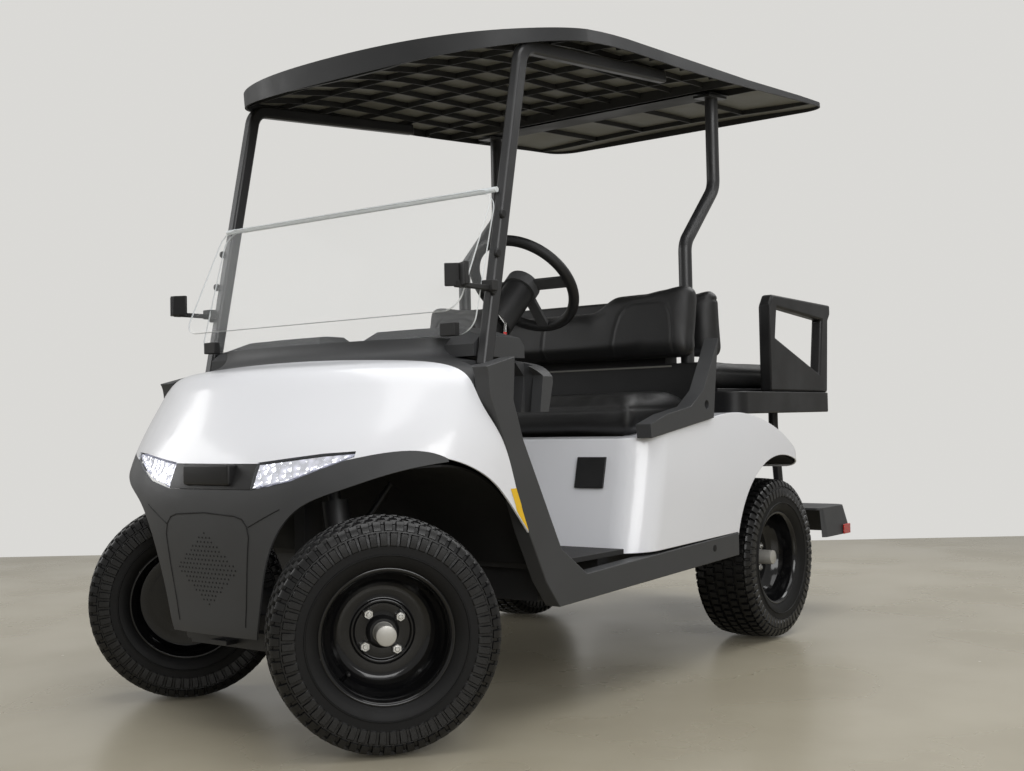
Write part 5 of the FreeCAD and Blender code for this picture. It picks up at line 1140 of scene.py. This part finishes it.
def sawn_edges(mesh):
    """True for faces that turn away from the largest one."""
    normals = polygon_values(mesh, "normal")
    areas = np.empty(len(mesh.polygons))
    mesh.polygons.foreach_get("area", areas)
    broad = normals[areas.argmax()]
    return np.abs(normals @ broad) < 0.5


two_finishes("windscreen_lower_pane", "windscreen_lower", ACRYLIC, ACRYLIC_EDGE_PAINTED_LIGHT, sawn_edges)
two_finishes("windscreen_upper_pane", "windscreen_upper", ACRYLIC, ACRYLIC_EDGE_PAINTED_LIGHT, sawn_edges)
print("panes ready")

# %% [markdown]
# ## The canopy's underside
#
# From below, the canopy's thin skin is painted lighter than the ribs that stiffen it, though both are one
# solid: painted light for the light the skin shows. Rays sent up from each face that looks down tell the
# thin skin from the ribs.

# %% Canopy
SKIN_DEPTH = 0.009
UPWARDS = Vector((0.0, 0.0, 1.0))


def thin_skin_painted_light(mesh):
    """True for faces that look down and have only a thin skin above them; they take the painted light."""
    tree = surface_of("roof")
    chosen = np.zeros(len(mesh.polygons), bool)
    for face in mesh.polygons:
        if face.normal.z < -0.7:
            place, normal, index, distance = tree.ray_cast(face.center + UPWARDS * 0.0008, UPWARDS)
            chosen[face.index] = place is not None and distance < SKIN_DEPTH
    return chosen


# Painted light: the thin skin between the ribs is painted a lighter beige than the ribs, though both are one
# solid.
ROOF_SKIN_PAINTED_LIGHT = grained("roof_skin", (0.165, 0.165, 0.143), 0.60, 0.0016)
canopy = two_finishes("roof_shell", "roof", ROOF_CHARCOAL, ROOF_SKIN_PAINTED_LIGHT, thin_skin_painted_light)
print("canopy faces", len(canopy.data.polygons))

# %% [markdown]
# ## The steering wheel's grip
#
# The rim is wrapped in a softer, darker plastic than the hub and the spokes. Distance from the wheel's
# centre tells the rim from the rest.

# %% Steering wheel
GRIP_FROM = 0.133
WHEEL_CENTRE = axle_of("wheel_turn")[0]
GRIP = grained("grip_rubber", (0.008, 0.008, 0.0085), 0.5, 0.0014)


def far_from_hub(mesh):
    return np.linalg.norm(polygon_values(mesh, "center") - WHEEL_CENTRE, axis=1) > GRIP_FROM


hand_wheel = two_finishes("steering_wheel_grip", "steering_wheel", CHARCOAL, GRIP, far_from_hub)
print("steering wheel faces", len(hand_wheel.data.polygons))

# %% [markdown]
# ## Windscreen clips
#
# Low clips are small rubber blocks. The middle clips that catch the folded pane are made of two plates
# set at an angle, like an open book, on a short arm with a clamp round the strut.

# %% Clips
MIDDLE_CLIPS_FROM = 1.0


def box_part(centre, size, turn, material):
    """Eight corners of a block, turned about an upright line through its centre."""
    corner = np.array([(x, y, z) for x in (-0.5, 0.5) for y in (-0.5, 0.5) for z in (-0.5, 0.5)]) * size
    cosine, sine = math.cos(turn), math.sin(turn)
    spun = np.stack([corner[:, 0] * cosine - corner[:, 1] * sine,
                     corner[:, 0] * sine + corner[:, 1] * cosine, corner[:, 2]], axis=1)
    faces = np.array([(0, 1, 3, 2), (4, 6, 7, 5), (0, 4, 5, 1), (2, 3, 7, 6), (0, 2, 6, 4), (1, 5, 7, 3)])
    return spun + centre, faces, material


def islands(points, faces):
    """Groups of faces that hang together, as a label for each point."""
    label = np.arange(len(points))
    for step in range(len(points)):
        low = label[faces].min(axis=1)
        fresh = label.copy()
        np.minimum.at(fresh, faces.ravel(), np.repeat(low, faces.shape[1]))
        if (fresh == label).all():
            return label
        label = fresh
    return label


def middle_clip(low, high):
    """Two plates, the pad behind them, the arm and the clamp round the strut."""
    x, front, back = (low[0] + high[0]) / 2, low[1], high[1]
    level = (low[2] + high[2]) / 2 + 0.008
    arm = back - front - 0.040
    pieces = []
    for turn, shift in ((0.62, -0.017), (-0.50, 0.017)):
        pieces.append(box_part((x + shift, front + 0.016, level), (0.038, 0.011, 0.054), turn * np.sign(x),
                               BLACK_PLASTIC))
    for y, drop, size in ((front + 0.028, 0.022, (0.030, 0.024, 0.016)),
                          ((front + back) / 2 + 0.012, 0.024, (0.013, arm, 0.012)),
                          (back - 0.012, 0.018, (0.034, 0.024, 0.026))):
        pieces.append(box_part((x, y, level - drop), size, 0.0, MAT_RUBBER))
    return pieces


clip_mesh = NODES["windscreen_clips"].data
clip_faces = np.array([list(face.vertices)[:3] for face in clip_mesh.polygons])
clip_points, merged = np.unique(coordinates(clip_mesh).round(5), axis=0, return_inverse=True)
label = islands(clip_points, merged.ravel()[clip_faces])
parts = []
for group in np.unique(label):
    low, high = clip_points[label == group].min(axis=0), clip_points[label == group].max(axis=0)
    if (low[2] + high[2]) / 2 < MIDDLE_CLIPS_FROM:
        parts.append(box_part((low + high) / 2, high - low, 0.0, MAT_RUBBER))
    else:
        parts += middle_clip(low, high)
clips = joined("windscreen_clip_set", "cart", parts, ["windscreen_clips"], sharp=20.0)
rounding = clips.modifiers.new("Soft edges", "BEVEL")
rounding.width = 0.0022
rounding.segments = 3
print("clip parts", len(parts))

# %% [markdown]
# ## Trim between the seat and its back
#
# A thin light strip edges the panel under the back rest, and the steering column carries a small lever.

# %% Strip and lever
LEVER = [(0.300, -0.520, 1.010), (0.335, -0.540, 0.985), (0.358, -0.575, 0.945)]
STRIP_BEIGE = grained("strip_beige", (0.20, 0.195, 0.175), 0.5)
strip_low, strip_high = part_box("under_back_panel")
rounded_block("panel_strip", "cart", (0.19, strip_low[1] - 0.0012, strip_high[2] - 0.008),
              (0.48, 0.003, 0.0055), 0.0012, STRIP_BEIGE)
lever_points = divided(LEVER, 0.008)
lever_out = np.tile([0.0, 0.0, 1.0], (len(lever_points), 1))
rod, rod_faces = tube(lever_points, lever_out, 0.0034, 10)
tip, tip_faces = tube(lever_points[-3:], lever_out[-3:], 0.0056, 10)
joined("column_lever", "cart", [(rod, rod_faces, ZINC), (tip, tip_faces, RED_LENS)])
print("strip and lever ready")

# %% [markdown]
# ## The showroom floor
#
# The floor ends a few metres behind the cart, and past it the eye meets the pale world, like a far wall.
# A standing wall would hide the cart from behind. The floor isn't part of the cart, and it keeps the
# cart's shadow.

# %% Floor
FLOOR_COLOUR = (0.385, 0.352, 0.272)
FLOOR_CLOUD = (0.32, 0.29, 0.22)
FLOOR_BEHIND_CAMERA = -13.0
FLOOR_AHEAD = 3.3
FLOOR_HALF_WIDTH = 14.0


def floor_finish():
    """Clouded concrete with a faint glow of its own, which keeps far shadows from turning black."""
    finish = Finish("showroom_floor", FLOOR_COLOUR, 0.22, Emission_Strength=0.05)
    cloud = finish.patches(1.7, 5.0, 0.3, 0.7)
    finish.colours(cloud, FLOOR_COLOUR, FLOOR_CLOUD)
    finish.colours(cloud, FLOOR_COLOUR, FLOOR_CLOUD, "Emission Color")
    finish.feed("Roughness", 0.22 + cloud * 0.08)
    return finish.material


def seen_from_camera(across, ahead):
    """A place on the ground, to the right of the origin and ahead of it, as the camera is turned."""
    return (across * math.cos(CAMERA_TURN) - ahead * math.sin(CAMERA_TURN),
            across * math.sin(CAMERA_TURN) + ahead * math.cos(CAMERA_TURN), 0.0)


corners = [seen_from_camera(-FLOOR_HALF_WIDTH, FLOOR_BEHIND_CAMERA),
           seen_from_camera(FLOOR_HALF_WIDTH, FLOOR_BEHIND_CAMERA),
           seen_from_camera(FLOOR_HALF_WIDTH, FLOOR_AHEAD), seen_from_camera(-FLOOR_HALF_WIDTH, FLOOR_AHEAD)]
floor_mesh = bpy.data.meshes.new("Floor")
floor_mesh.from_pydata(corners, [], [(0, 1, 2, 3)])
add_piece("Floor", floor_mesh, floor_finish())
print("floor from", FLOOR_BEHIND_CAMERA, "to", FLOOR_AHEAD, "metres along the view")

# %% [markdown]
# ## The pale world
#
# The world gives the cart a little light from all round. The camera, and the rays that go through the
# clear panes, see it brighter than that, as a pale wall. Mirror rays see a share of the difference, so
# gloss paint shows some of the wall and stays dark where it is dark.

# %% World
WORLD_COLOUR = (0.95, 0.94, 0.91, 1.0)
WORLD_LIGHT = 0.30
WORLD_SEEN = 0.74
MIRRORED_SHARE = 0.4

world = bpy.data.worlds.new("Showroom")
scene.world = world
world.use_nodes = True
background = world.node_tree.nodes["Background"]
background.inputs["Color"].default_value = WORLD_COLOUR
path = world.node_tree.nodes.new("ShaderNodeLightPath")


def world_maths(operation, first, second):
    """One Math node in the world's tree; each input is a socket or a number."""
    made = world.node_tree.nodes.new("ShaderNodeMath")
    made.operation = operation
    for socket, thing in zip(made.inputs, (first, second)):
        if isinstance(thing, float):
            socket.default_value = thing
        else:
            world.node_tree.links.new(thing, socket)
    return made.outputs[0]


mirrored = world_maths("MULTIPLY", path.outputs["Is Glossy Ray"], MIRRORED_SHARE)
direct = world_maths("MAXIMUM", path.outputs["Is Camera Ray"], path.outputs["Is Transmission Ray"])
seen = world_maths("MULTIPLY", world_maths("MAXIMUM", mirrored, direct), WORLD_SEEN - WORLD_LIGHT)
world.node_tree.links.new(world_maths("ADD", seen, WORLD_LIGHT), background.inputs["Strength"])
print("world gives", WORLD_LIGHT, "and shows", WORLD_SEEN)
